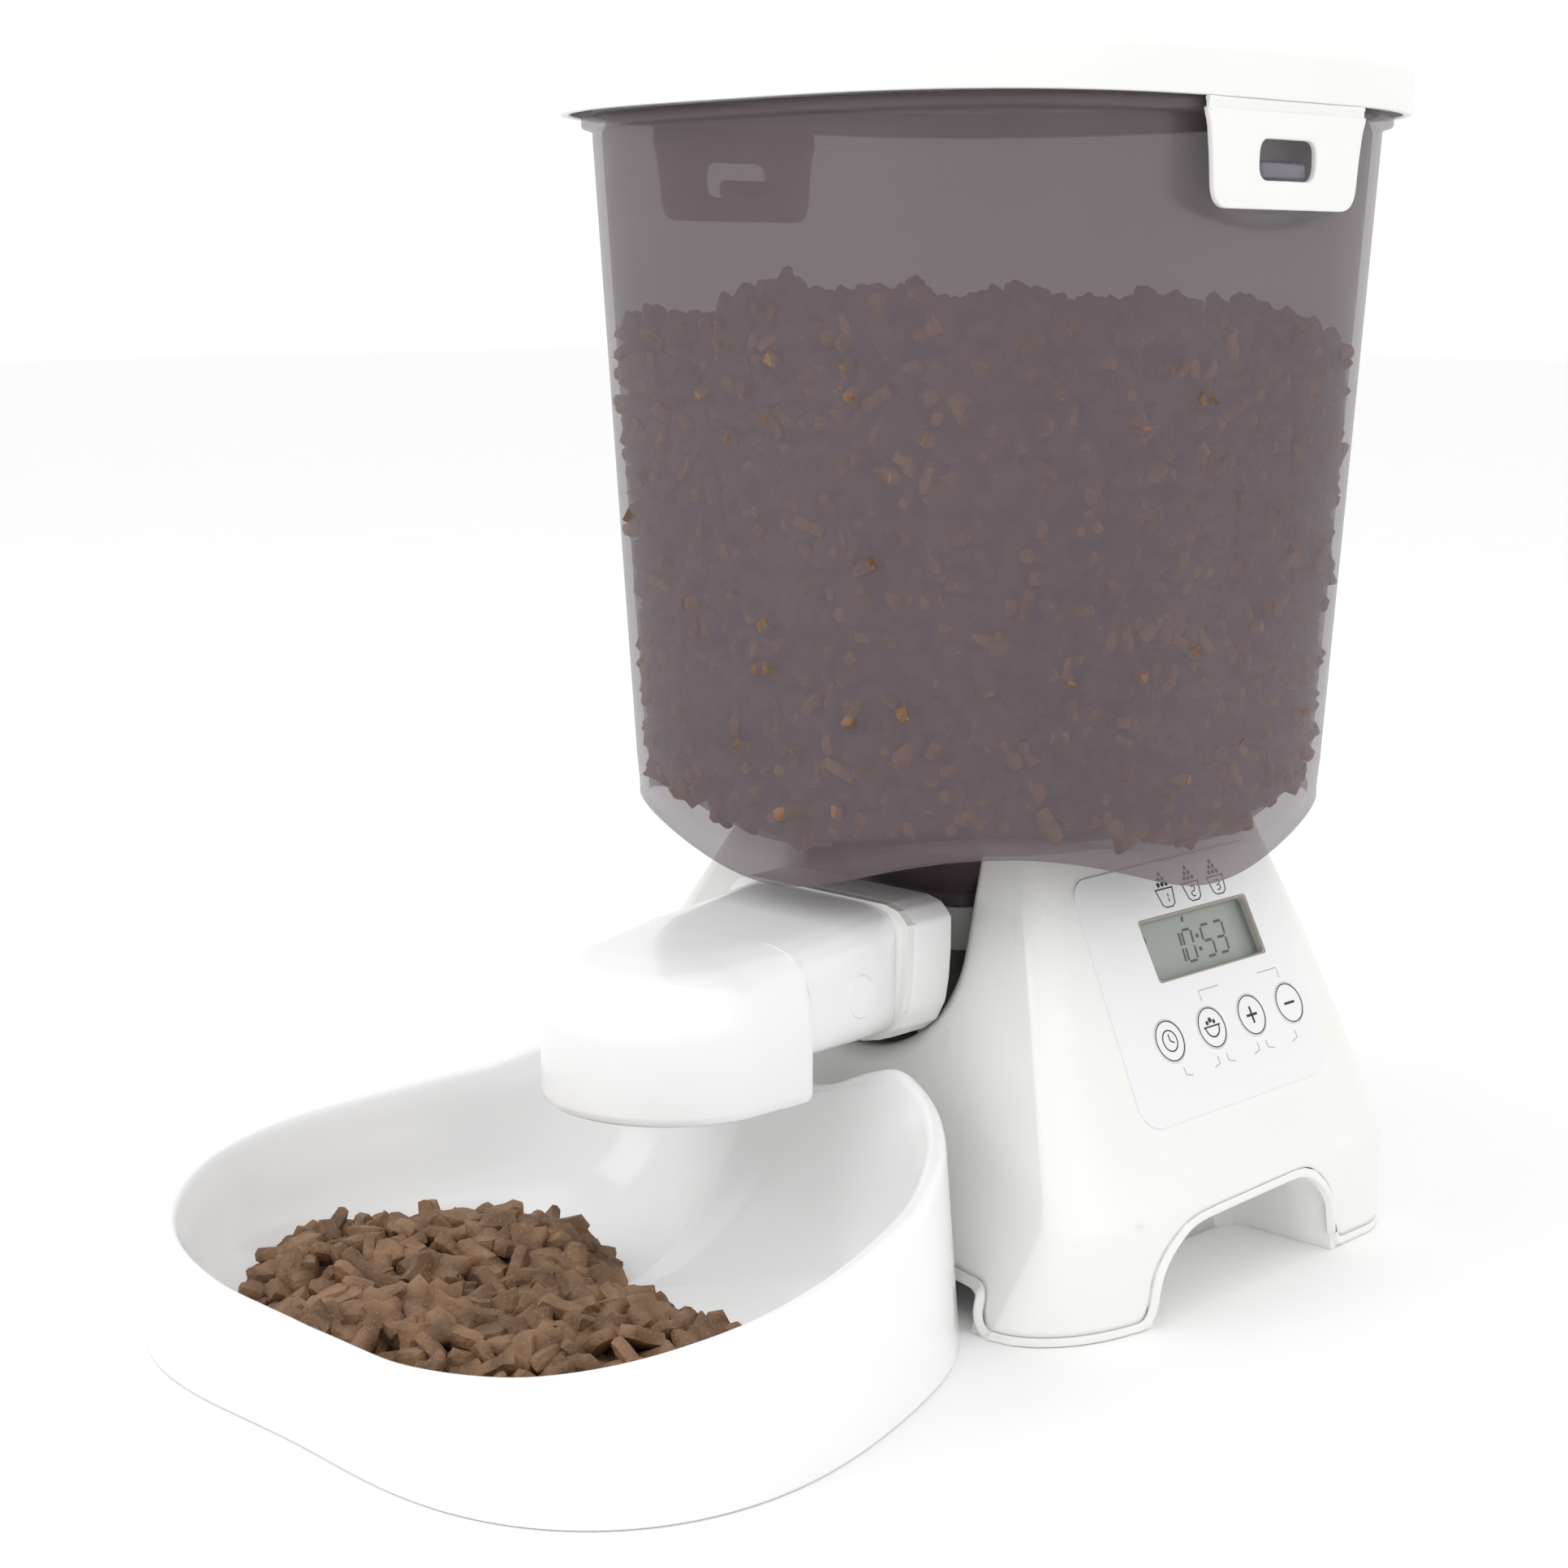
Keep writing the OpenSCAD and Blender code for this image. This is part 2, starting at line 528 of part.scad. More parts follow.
rim_table = [[0, bowl_front_z], [20, bowl_front_z + 1.5], [40, bowl_front_z + 6.5],
  [60, bowl_front_z + 14], [75, 48], [110, bowl_rear_z - 19], [135, bowl_rear_z - 6],
  [150, bowl_rear_z], [159, bowl_rear_z - 5], [168, bowl_rear_z - 12], [180, bowl_rear_z - 15]];

function bowl_ring(f, t, z, k = 0, dz = 0) = [for (i = [0 : 71]) let (a = 360 * i / 72,
  p = a > 180 ? 360 - a : a, rz = at(rim_table, p), r = f * (bowl_r(p) - t),
  e = mix(16, 2.6, (p - 60) / 110), zz = k == 0 ? z : k == 1 ? rz + z : 9 + (rz - 9) * pow(f, e))
  [r * sin(a), bowl_c - r * cos(a), zz + dz]];

module bowl() {
  floor = [0.97, 0.93, 0.87, 0.78, 0.62, 0.4, 0.12];
  color(white) place() resize([0, 0, 0]) union() {
    loft([for (i = [6 : -1 : 0]) bowl_ring(floor[i], 10, 0, 2, -wall - (i == 0 ? 5 : 0)),
      bowl_ring(1, 8, -6, 1), bowl_ring(1, wall, 4), bowl_ring(1, wall, 0), bowl_ring(1, 0, 0),
      bowl_ring(1, 4.6, -4, 1), bowl_ring(1, 5.4, -1.2, 1), bowl_ring(1, 7, 0, 1),
      bowl_ring(1, 9, -0.2, 1), bowl_ring(1, 10.4, -1.8, 1),
      for (f = floor) bowl_ring(f, 10, 0, 2)]);
    translate([-50, -90, 1.2]) cube([100, 25.2, 2.6]);
    for (x = [-45, 0, 40]) translate([x, -72, 3.5]) cube([5, 4, 2.4]);
  }
}

lid();
lid_seal();
latch_right();
latch_left();
hopper();
stand_shell();
base_cover();
battery_door();
cell_1();
cell_2();
cell_3();
cell_4();
contact_right();
contact_left();
label();
lcd_window();
lcd_module();
circuit_board();
tact_switches();
button_1();
button_2();
button_3();
button_4();
feed_housing();
auger();
drive_shaft();
output_gear();
compound_gear_1();
compound_gear_2();
gear_pin_1();
gear_pin_2();
gearbox_front();
gearbox_rear();
motor();
motor_pinion();
nozzle();
snap_button_right();
snap_button_left();
bowl();
screw_1();
screw_2();
screw_3();
screw_4();
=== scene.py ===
import bpy
import numpy as np
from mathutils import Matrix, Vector


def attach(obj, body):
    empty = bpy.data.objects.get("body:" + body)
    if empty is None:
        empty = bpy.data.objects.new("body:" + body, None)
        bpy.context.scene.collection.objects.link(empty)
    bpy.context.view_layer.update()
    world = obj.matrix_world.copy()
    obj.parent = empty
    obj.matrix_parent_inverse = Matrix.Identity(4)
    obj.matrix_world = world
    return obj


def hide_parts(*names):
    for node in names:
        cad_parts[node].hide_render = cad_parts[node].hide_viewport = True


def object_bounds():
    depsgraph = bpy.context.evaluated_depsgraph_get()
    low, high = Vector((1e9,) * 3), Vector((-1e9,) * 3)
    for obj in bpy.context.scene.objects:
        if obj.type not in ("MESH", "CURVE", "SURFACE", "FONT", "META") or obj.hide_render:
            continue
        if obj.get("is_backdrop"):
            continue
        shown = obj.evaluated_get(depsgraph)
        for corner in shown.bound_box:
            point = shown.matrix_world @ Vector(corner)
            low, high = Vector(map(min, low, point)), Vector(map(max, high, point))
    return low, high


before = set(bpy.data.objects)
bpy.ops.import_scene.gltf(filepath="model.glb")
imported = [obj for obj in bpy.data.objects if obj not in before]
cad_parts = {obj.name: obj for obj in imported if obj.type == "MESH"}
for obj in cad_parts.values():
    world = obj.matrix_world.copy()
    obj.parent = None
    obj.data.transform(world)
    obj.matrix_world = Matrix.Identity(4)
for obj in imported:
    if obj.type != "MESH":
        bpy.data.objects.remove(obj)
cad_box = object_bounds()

# ---- camera, floor and studio light ----
# A plain pale floor, one wide soft light high on the left, a fill on the right and a bright even
# surround. The camera stands at the front right corner, a little above the middle of the hopper.
MM = 0.001
SHIFT = 80.0                     # hopper axis to the middle of the footprint, along +Y, in mm
turn, dip = np.radians(44.8), np.radians(10.5)

camera = bpy.data.objects.new("camera", bpy.data.cameras.new("camera"))
camera.location = (0.5737, -0.6681 + SHIFT * MM, 0.3045)
ahead = Vector((-np.sin(turn) * np.cos(dip), np.cos(turn) * np.cos(dip), -np.sin(dip)))
camera.rotation_euler = ahead.to_track_quat("-Z", "Y").to_euler()
camera.data.sensor_width = 36.0
camera.data.lens = 62.25
bpy.context.scene.collection.objects.link(camera)
bpy.context.scene.camera = camera


def softbox(name, place, target, size, power):
    """A square area light at place, facing target, all in metres."""
    light = bpy.data.lights.new(name, "AREA")
    light.shape, light.size, light.energy = "SQUARE", size, power
    lamp = bpy.data.objects.new(name, light)
    lamp.location = place
    lamp.rotation_euler = (Vector(target) - Vector(place)).to_track_quat("-Z", "Y").to_euler()
    bpy.context.scene.collection.objects.link(lamp)


softbox("key_light", (-0.55, -1.35, 1.15), (0, -0.05, 0.12), 0.9, 4.5)
softbox("fill_light", (1.5, -0.25, 0.75), (0, 0, 0.16), 0.8, 1.2)
softbox("top_light", (0.1, 0.1, 1.7), (0, 0, 0.1), 1.2, 3.5)

surround = bpy.data.worlds.new("surround")
surround.use_nodes = True
surround.node_tree.nodes["Background"].inputs[0].default_value = (1.0, 1.0, 1.0, 1.0)
surround.node_tree.nodes["Background"].inputs[1].default_value = 1.0
bpy.context.scene.world = surround
bpy.context.scene.view_settings.view_transform = "Standard"


def put_mesh(name, points, faces, sharp=38.0):
    """A mesh object from points in mm about the hopper axis; edges over sharp degrees stay crisp."""
    data = bpy.data.meshes.new(name)
    at = (np.asarray(points, float).reshape(-1, 3) + [0.0, SHIFT, 0.0]) * MM
    data.from_pydata(at.tolist(), [], [tuple(f) for f in faces])
    data.validate()
    data.polygons.foreach_set("use_smooth", np.ones(len(data.polygons), bool))
    data.set_sharp_from_angle(angle=np.radians(sharp))
    piece = bpy.data.objects.new(name, data)
    bpy.context.scene.collection.objects.link(piece)
    return piece


def grid_faces(rows, columns, loop_rows=False, loop_columns=True, first=0):
    """Quads of a rows by columns grid: rows run up, columns counterclockwise, so they face out."""
    r = np.arange(rows if loop_rows else rows - 1)[:, None]
    c = np.arange(columns if loop_columns else columns - 1)[None, :]
    r2, c2 = (r + 1) % rows, (c + 1) % columns
    quad = [r * columns + c, r * columns + c2, r2 * columns + c2, r2 * columns + c]
    return first + np.stack(np.broadcast_arrays(*quad), -1).reshape(-1, 4)


floor = put_mesh("floor", [[-9e3, -9e3, 0], [9e3, -9e3, 0], [9e3, 9e3, 0], [-9e3, 9e3, 0]],
                 [[0, 1, 2, 3]])
floor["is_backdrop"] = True


def node_material(name):
    """A new material, its node tree, its shader and an Object coordinate socket."""
    material = bpy.data.materials.new(name)
    material.use_nodes = True
    tree = material.node_tree
    where = tree.nodes.new("ShaderNodeTexCoord").outputs["Object"]
    return material, tree, tree.nodes["Principled BSDF"], where


def mottle(tree, where, scale, low, high, detail=3.0):
    """Noise of that scale per metre spread between low and high, numbers or colours."""
    noise = tree.nodes.new("ShaderNodeTexNoise")
    noise.inputs["Scale"].default_value = scale
    noise.inputs["Detail"].default_value = detail
    tree.links.new(where, noise.inputs["Vector"])
    if np.ndim(low) == 0:
        spread = tree.nodes.new("ShaderNodeMapRange")
        spread.inputs["From Min"].default_value, spread.inputs["From Max"].default_value = 0.3, 0.7
        spread.inputs["To Min"].default_value, spread.inputs["To Max"].default_value = low, high
        tree.links.new(noise.outputs["Fac"], spread.inputs["Value"])
        return spread.outputs["Result"]
    ramp = tree.nodes.new("ShaderNodeValToRGB")
    ramp.color_ramp.elements[0].position, ramp.color_ramp.elements[1].position = 0.35, 0.65
    ramp.color_ramp.elements[0].color = (*low, 1.0)
    ramp.color_ramp.elements[1].color = (*high, 1.0)
    tree.links.new(noise.outputs["Fac"], ramp.inputs["Fac"])
    return ramp.outputs["Color"]


def rough_and_bump(tree, shader, where, rough, grain, height):
    """Roughness that drifts between the two values of rough, and a fine bump of grain per metre."""
    tree.links.new(mottle(tree, where, 40.0, *rough), shader.inputs["Roughness"])
    bump = tree.nodes.new("ShaderNodeBump")
    bump.inputs["Distance"].default_value = height * MM
    bump.inputs["Strength"].default_value = 1.0
    tree.links.new(mottle(tree, where, grain, 0.0, 1.0, 2.0), bump.inputs["Height"])
    tree.links.new(bump.outputs["Normal"], shader.inputs["Normal"])


def moulding(name, tint, rough, grain=900.0, height=0.012, drift=0.02, coat=0.0):
    """Moulded plastic: tint with a slight drift, drifting gloss and a fine skin texture."""
    material, tree, shader, where = node_material(name)
    low = [c * (1 - drift) for c in tint]
    high = [min(1.0, c * (1 + drift)) for c in tint]
    tree.links.new(mottle(tree, where, 14.0, low, high), shader.inputs["Base Color"])
    rough_and_bump(tree, shader, where, rough, grain, height)
    shader.inputs["Coat Weight"].default_value = coat
    shader.inputs["IOR"].default_value = 1.5
    return material


def finish_piece(piece, material, body, slot, *nodes):
    """Gives the piece its material and body, and hides the CAD nodes that it stands for; the slot
    argument is not used.
    """
    piece.data.materials.clear()
    piece.data.materials.append(material)
    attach(piece, body)
    if nodes:
        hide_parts(*nodes)


floor_paint = moulding("floor_paint", (0.97, 0.97, 0.97), (0.75, 0.85), 60.0, 0.01, 0.004)
floor.data.materials.append(floor_paint)

# ---- lid ----
# A shallow cap of warm white polypropylene with a soft upper edge and a faintly crowned top.
# It is injection moulded in one shot and drops over the hopper's rim.
SQUARE = 3.2
AROUND = 256
LID_TOP, RIM = 374.0, 355.3
LID_X, LID_Y = 115.0, 120.0


def oval(a, b, z, power=SQUARE, centre=0.0, wave=0.0, count=AROUND):
    """Superellipse ring: radius = ((|cos t|/a)^n + (|sin t|/b)^n)^(-1/n), dipping by wave cos 4t."""
    t = np.linspace(0.0, 2 * np.pi, count, endpoint=False)
    r = ((np.abs(np.cos(t)) / a) ** power + (np.abs(np.sin(t)) / b) ** power) ** (-1 / power)
    return np.stack([r * np.cos(t), centre + r * np.sin(t), z - wave * np.cos(4 * t)], 1)


def rounded_step(start, end, corner, steps=7):
    """Points of a quarter ellipse from start to end, bulging towards corner, in any number of axes."""
    s = np.linspace(0.0, np.pi / 2, steps)[:, None]
    a, b, c = (np.asarray(v, float) for v in (start, end, corner))
    return c + (a - c) * (1 - np.sin(s)) + (b - c) * (1 - np.cos(s))


def lid_profile():
    """Inset and height up the skirt, round the edge, over the crown and back down inside."""
    crown = np.linspace(0.0, 1.0, 12)[1:]
    over = np.stack([6.5 + 108.0 * crown, LID_TOP - 1.9 * (1 - crown) ** 2], 1)
    inside = np.array([[108.0, -2.6], [50.0, -2.8], [14.0, -3.8], [11.0, -4.2], [11.0, -10.6],
                       [9.0, -10.6], [9.0, -4.6], [4.6, -5.2], [2.6, -8.5]])
    inside[:, 1] += LID_TOP
    return np.vstack([[[2.2, RIM], [0.5, RIM]], rounded_step((0.5, RIM), (0.0, RIM + 0.6),
                      (0.0, RIM), 4)[1:], rounded_step((0.0, LID_TOP - 7.2), (6.5, LID_TOP - 1.9),
                      (0.4, LID_TOP - 2.0), 12), over, inside, [[2.6, RIM + 0.4]]])


lid_rings = np.array([oval(LID_X - i, LID_Y - i, z) for i, z in lid_profile()])
lid_mesh = put_mesh("lid_cap", lid_rings, grid_faces(len(lid_rings), AROUND, loop_rows=True))
warm_white = moulding("warm_white", (0.88, 0.885, 0.855), (0.27, 0.36), 1100.0, 0.006, 0.012, 0.1)
finish_piece(lid_mesh, warm_white, "lid", "white_plastic", "lid")
silicone = moulding("silicone", (0.45, 0.45, 0.45), (0.55, 0.7), 700.0, 0.01)

# ---- latch tabs ----
# Two flat tongues moulded on the lid's skirt by a thin flexing line, each with a long slot.
# They swing out to release the lid; the wide shoulders carry the flex.
TAB_X, TAB_T = 113.6, 2.2


def around_outline(points, radii, steps=10):
    """Closed outline through 2-D points, counterclockwise, with each corner cut by its radius."""
    p = np.asarray(points, float)
    out = []
    for i, r in enumerate(radii):
        a, c, b = p[i - 1] - p[i], p[i], p[(i + 1) % len(p)] - p[i]
        a, b = a / np.linalg.norm(a), b / np.linalg.norm(b)
        s = np.linspace(0.0, 1.0, steps)[:, None]
        reach = r / np.tan(np.arccos(np.clip(a @ b, -1, 1)) / 2)
        out.append((1 - s) ** 2 * (c + a * reach) + 2 * s * (1 - s) * c + s ** 2 * (c + b * reach))
    return np.vstack(out)


def resampled(outline, count, start=(1e3, 0.0)):
    """count points evenly spaced along a closed outline, from the point nearest to start."""
    k = np.argmin(np.linalg.norm(outline - np.asarray(start), axis=1))
    loop = np.vstack([np.roll(outline, -k, 0), outline[k]])
    length = np.concatenate([[0.0], np.cumsum(np.linalg.norm(np.diff(loop, axis=0), axis=1))])
    at = np.linspace(0.0, length[-1], count, endpoint=False)
    return np.stack([np.interp(at, length, loop[:, j]) for j in (0, 1)], 1)


def grown(outline, d):
    """The outline pushed outwards by d along its normals."""
    step = np.roll(outline, -1, 0) - np.roll(outline, 1, 0)
    normal = np.stack([step[:, 1], -step[:, 0]], 1) / np.linalg.norm(step, axis=1)[:, None]
    return outline + d * normal


def closed_cap(rings):
    """The rings' grid plus a middle point closing each end; returns points and faces."""
    rows, columns = rings.shape[:2]
    points = np.vstack([rings.reshape(-1, 3), rings[0].mean(0), rings[-1].mean(0)])
    i = np.arange(columns)
    j = (i + 1) % columns
    low = np.stack([np.full(columns, rows * columns), j, i], 1)
    top = (rows - 1) * columns
    high = np.stack([np.full(columns, rows * columns + 1), top + i, top + j], 1)
    return points, grid_faces(rows, columns).tolist() + low.tolist() + high.tolist()


def put_closed(name, rings, sharp=38.0):
    """A mesh piece from rings with both ends closed by a fan."""
    return put_mesh(name, *closed_cap(np.asarray(rings)), sharp)


def tab_points():
    """Rings over the rim's edge from back to front, then back through the slot: y, z and depth."""
    side = [(39.5, -3.2), (37.6, -8), (36.3, -16), (34.8, -30.6)]
    rim = around_outline([(-y, RIM + z) for y, z in side] + [(y, RIM + z) for y, z in side[::-1]],
                         [0.4, 6, 8, 7.5, 7.5, 8, 6, 0.4])
    slot = around_outline([(-14, RIM - 22.5), (14, RIM - 22.5), (14, RIM - 10.9),
                           (-14, RIM - 10.9)], [4.6] * 4)
    rim, slot = resampled(rim, 240), resampled(slot, 240)
    half, e = TAB_T / 2, 0.7
    rows = []
    for ring, sign, order in ((rim, 1, 1), (slot, -1, -1)):
        edge = [(-half, 0.5), (-half + 0.4, 0.0), (half - e, 0.0), (half - 0.35, 0.1),
                (half - 0.1, 0.4), (half, 0.9)][::order]
        for depth, inset in edge:
            rows.append(np.column_stack([grown(ring, -sign * inset), np.full(240, depth)]))
    return np.array(rows)


for side, name, body in ((1, "latch_right", "latch_right"), (-1, "latch_left", "latch_left")):
    rows = tab_points()
    lean = 0.4 * np.clip((RIM - 6 - rows[..., 1]) / 26, 0, 1)
    points = np.stack([side * (TAB_X - lean + rows[..., 2]), rows[..., 0], rows[..., 1]], -1)
    order = grid_faces(len(rows), 240, loop_rows=True)
    tab = put_mesh(name + "_tab", points, order if side > 0 else order[:, ::-1], 50)
    finish_piece(tab, warm_white, body, "white_plastic", name)
    across = np.array([[-0.5, -3.4], [0.5, -3.4], [0.5, -0.7], [0.8, -0.3], [0.8, 0.3], [0.4, 0.75],
                       [-0.4, 0.75], [-0.8, 0.3], [-0.8, -0.3], [-0.5, -0.7]])
    web = [np.column_stack([side * TAB_X + side * across[:, 0], np.full(10, y),
                            RIM - 0.8 + across[:, 1]]) for y in (38.5, 20.0, 0.0, -20.0, -38.5)]
    web = put_closed(name + "_flex", np.array(web if side > 0 else web[::-1]), 50)
    finish_piece(web, warm_white, body, "white_plastic")

# ---- hopper ----
# A deep smoky bin of frosted clear plastic, tapered downwards, with a rim flange, a waved lower
# skirt, and a funnel that ends in a square spout over the auger.
HOP_TOP, HOP_LOW, SEAT, WALL = (108.5, 109.3), (97.0, 98.0), 136.0, 2.6


def bin_ring(inset, z, wave=0.0):
    """Ring of the tapered wall at height z, its half axes running from HOP_LOW to HOP_TOP."""
    t = np.clip((z - 139.0) / 211.0, 0.0, 1.0)
    half = [HOP_LOW[k] + (HOP_TOP[k] - HOP_LOW[k]) * t - inset for k in (0, 1)]
    return oval(*half, z, wave=wave)


def latch_pocket(rings):
    """Presses a shallow pocket in the wall behind each tab: a smooth step 1.4 mm deep."""
    y, z = rings[..., 1], rings[..., 2]
    across = np.clip((42.5 - np.abs(y)) / 2.0, 0, 1)
    up = np.clip((z - 318.5 - 0.005 * y ** 2) / 2.5, 0, 1)
    deep = across * up * (np.abs(rings[..., 0]) > 60) * (z < 351)
    soft = deep * deep * (3 - 2 * deep)
    rings[..., 0] -= np.sign(rings[..., 0]) * 1.4 * soft
    return rings


outer = [bin_ring(0.9, 131.5, 8.0), bin_ring(0.3, 131.8, 8.0), bin_ring(0.0, 132.6, 7.9)]
outer += [bin_ring(0.0, z, 7.9 * (1 - (z - 132.6) / 19.4)) for z in (135.0, 138.0, 142.0, 147.0)]
outer += [bin_ring(0.0, z) for z in np.concatenate([np.linspace(152, 300, 12),
                                                    np.linspace(304, 350.5, 34)])]
flange = [oval(HOP_TOP[0] + d, HOP_TOP[1] + d, z) for d, z in
          ((1.0, 351.0), (2.6, 351.6), (3.0, 352.2), (3.0, 354.8), (2.6, RIM), (-4.6, RIM))]
inner = [bin_ring(WALL, z) for z in (350.0, 300.0, 250.0, 200.0)]
inner += [bin_ring(WALL, 156.0, 2.0), bin_ring(WALL + 0.4, 147.0, 5.0),
          bin_ring(WALL + 1.4, 144.0, 5.8), bin_ring(WALL + 3.0, 142.2, 6.0),
          bin_ring(WALL + 6.0, 141.4, 5.2), oval(78, 78, SEAT + WALL, 3),
          oval(56, 52, SEAT + WALL, 3, 6), oval(53, 49, SEAT + 1.2, 3, 6),
          oval(50.5, 46.5, SEAT - 2, 3, 5), oval(26, 25, 115, 5, -12), oval(26, 25, 110, 5, -12),
          oval(28, 27, 110, 5, -12), oval(28, 27, 113.4, 5, -12), oval(51.5, 47.5, SEAT - 5, 3, 5),
          oval(54, 50, SEAT, 3, 6), oval(78, 78, SEAT, 3), bin_ring(WALL + 3, 139.0, 6.0),
          bin_ring(WALL, 137.0, 7.0), bin_ring(WALL, 131.7, 8.0)]
hopper_rings = latch_pocket(np.array(outer + flange + inner))
hopper_bin = put_mesh("hopper_bin", hopper_rings,
                      grid_faces(len(hopper_rings), AROUND, loop_rows=True), 45)

smoky, tree, shader, where = node_material("smoky_frost")
tree.links.new(mottle(tree, where, 9.0, (0.145, 0.108, 0.125), (0.16, 0.12, 0.138)),
               shader.inputs["Base Color"])
rough_and_bump(tree, shader, where, (0.3, 0.36), 1300.0, 0.01)
shader.inputs["Alpha"].default_value = 0.5
finish_piece(hopper_bin, smoky, "hopper", "smoky_plastic", "hopper")


def block(centre, size, radius, segments=4):
    """Rounded box: a sphere's directions, each pushed out to the box less its radius on every axis."""
    u = np.linspace(0.0, 2 * np.pi, 8 * segments, endpoint=False) + np.pi / (8 * segments)
    v = np.linspace(-np.pi / 2, np.pi / 2, 4 * segments)
    d = np.stack(np.broadcast_arrays(np.cos(v)[:, None] * np.cos(u), np.cos(v)[:, None] * np.sin(u),
                                     np.sin(v)[:, None]), -1)
    half = np.asarray(size, float) / 2 - radius
    return np.asarray(centre, float) + radius * d + half * np.sign(np.round(d, 9))


def block_faces(segments=4):
    """Faces of a block: its grid with both ends closed."""
    n, m = 8 * segments, 4 * segments
    ends = [list(range(n))[::-1], list(range((m - 1) * n, m * n))]
    return grid_faces(m, n).tolist() + ends


def put_block(name, centre, size, radius, sharp=50):
    """A rounded box piece."""
    return put_mesh(name, block(centre, size, radius), block_faces(), sharp)


smoky_solid = moulding("smoky_solid", (0.17, 0.15, 0.19), (0.22, 0.3), 900.0, 0.006)
for side, name in ((1, "catch_right"), (-1, "catch_left")):
    bump = put_block(name, (side * 109.4, 1.5, RIM - 19.7), (5.4, 23.0, 6.0), 2.0)
    finish_piece(bump, smoky_solid, "hopper", "smoky_plastic")

# ---- stand ----
# The white shell that carries everything: flared feet, a sloping control face, two towers that
# meet the hopper, and a round-bottomed cradle in its dished front wall.
TILT = np.radians(27.4)          # slope of the control face from vertical
FLANK = 105.1, 53.7, np.tan(TILT)
WINDOW = 15.65, 53.1             # middle of the display, along Y and up the slope
CRADLE_R, CRADLE_Z, STAND_LOW = 37.5, 102.5, 3.5


def by_height(z, *table):
    """Value at height z, read along a table of height and value pairs."""
    t = np.asarray(table, float)
    return np.interp(z, t[:, 0], t[:, 1])


def flank_x(z):
    """Half width at height z: the control plane above 33 mm, easing to a vertical foot below."""
    z = np.asarray(z, float)
    low = FLANK[0] + (FLANK[1] - 33.0) * FLANK[2]
    foot = low + (116.0 - low) * np.clip((33 - z) / 19, 0, 1) ** 0.7
    return np.where(z >= 33, FLANK[0] + (FLANK[1] - z) * FLANK[2], foot)


def stand_point(s, z, inset=0.0):
    """Point of the right half outline at height z for s from 0 at the front middle to 5 at the back.

    0 to 1 dished front, 1 to 2 ridge, 2 to 3 flank, 3 to 4 rear corner, 4 to 5 rear wall."""
    s, z = np.broadcast_arrays(np.asarray(s, float), np.asarray(z, float))
    x = flank_x(z) - inset
    yf = by_height(z, (0, -95), (92, -64), (136, -46)) + inset
    yb = by_height(z, (0, 84), (60, 80), (92, 76), (120, 71), (136, 68)) - inset
    rx = by_height(z, (0, 28), (40, 15), (92, 9), (136, 7))
    ry = by_height(z, (0, 46), (40, 22), (92, 12), (136, 9))
    rb = by_height(z, (0, 24), (60, 16), (92, 12), (136, 9))
    dip_in = by_height(z, (0, 15), (92, 14), (136, 6))
    a, b = np.clip(s - 1, 0, 1) * np.pi / 2, np.clip(s - 3, 0, 1) * np.pi / 2
    front, flank, rear = np.clip(s, 0, 1), np.clip(s - 2, 0, 1), np.clip(s - 4, 0, 1)
    px = np.where(s < 1, (x - rx) * front, np.where(s < 2, x - rx + rx * np.sin(a),
         np.where(s < 3, x, np.where(s < 4, x - rb * (1 - np.cos(b)), (x - rb) * (1 - rear)))))
    py = np.where(s < 1, yf + dip_in * (1 - front ** 2), np.where(s < 2, yf + ry * (1 - np.cos(a)),
         np.where(s < 3, yf + ry + (yb - rb - yf - ry) * flank,
         np.where(s < 4, yb - rb * (1 - np.sin(b)), yb))))
    return np.stack([px, py, z], -1)


POCKET = [(-52.3, -1), (-51.6, 11), (-49, 17), (-43.5, 22), (-36.5, 26), (-29.5, 27.4), (-21, 27.8),
          (20, 28.9), (25, 28.5), (29.6, 26.6), (34.8, 22.3), (37.8, 18.3), (39, 13), (41, -1)]


def eased(path, rounds=3):
    """An open line with its corners cut at a quarter of each side, repeated, keeping both ends."""
    p = np.asarray(path, float)
    for _ in range(rounds):
        a, b = p[:-1], p[1:]
        cut = np.stack([a * 0.75 + b * 0.25, a * 0.25 + b * 0.75], 1).reshape(-1, 2)
        p = np.vstack([p[:1], cut[1:-1], p[-1:]])
    return p


ARCH = eased(POCKET)
BEAD_W = 2.95                    # width of the base cover's bead over the arch
ARCH_STEP = np.gradient(ARCH, axis=0)
GROOVE = ARCH + (BEAD_W * np.stack([-ARCH_STEP[:, 1], ARCH_STEP[:, 0]], 1)
                 / np.linalg.norm(ARCH_STEP, axis=1)[:, None])


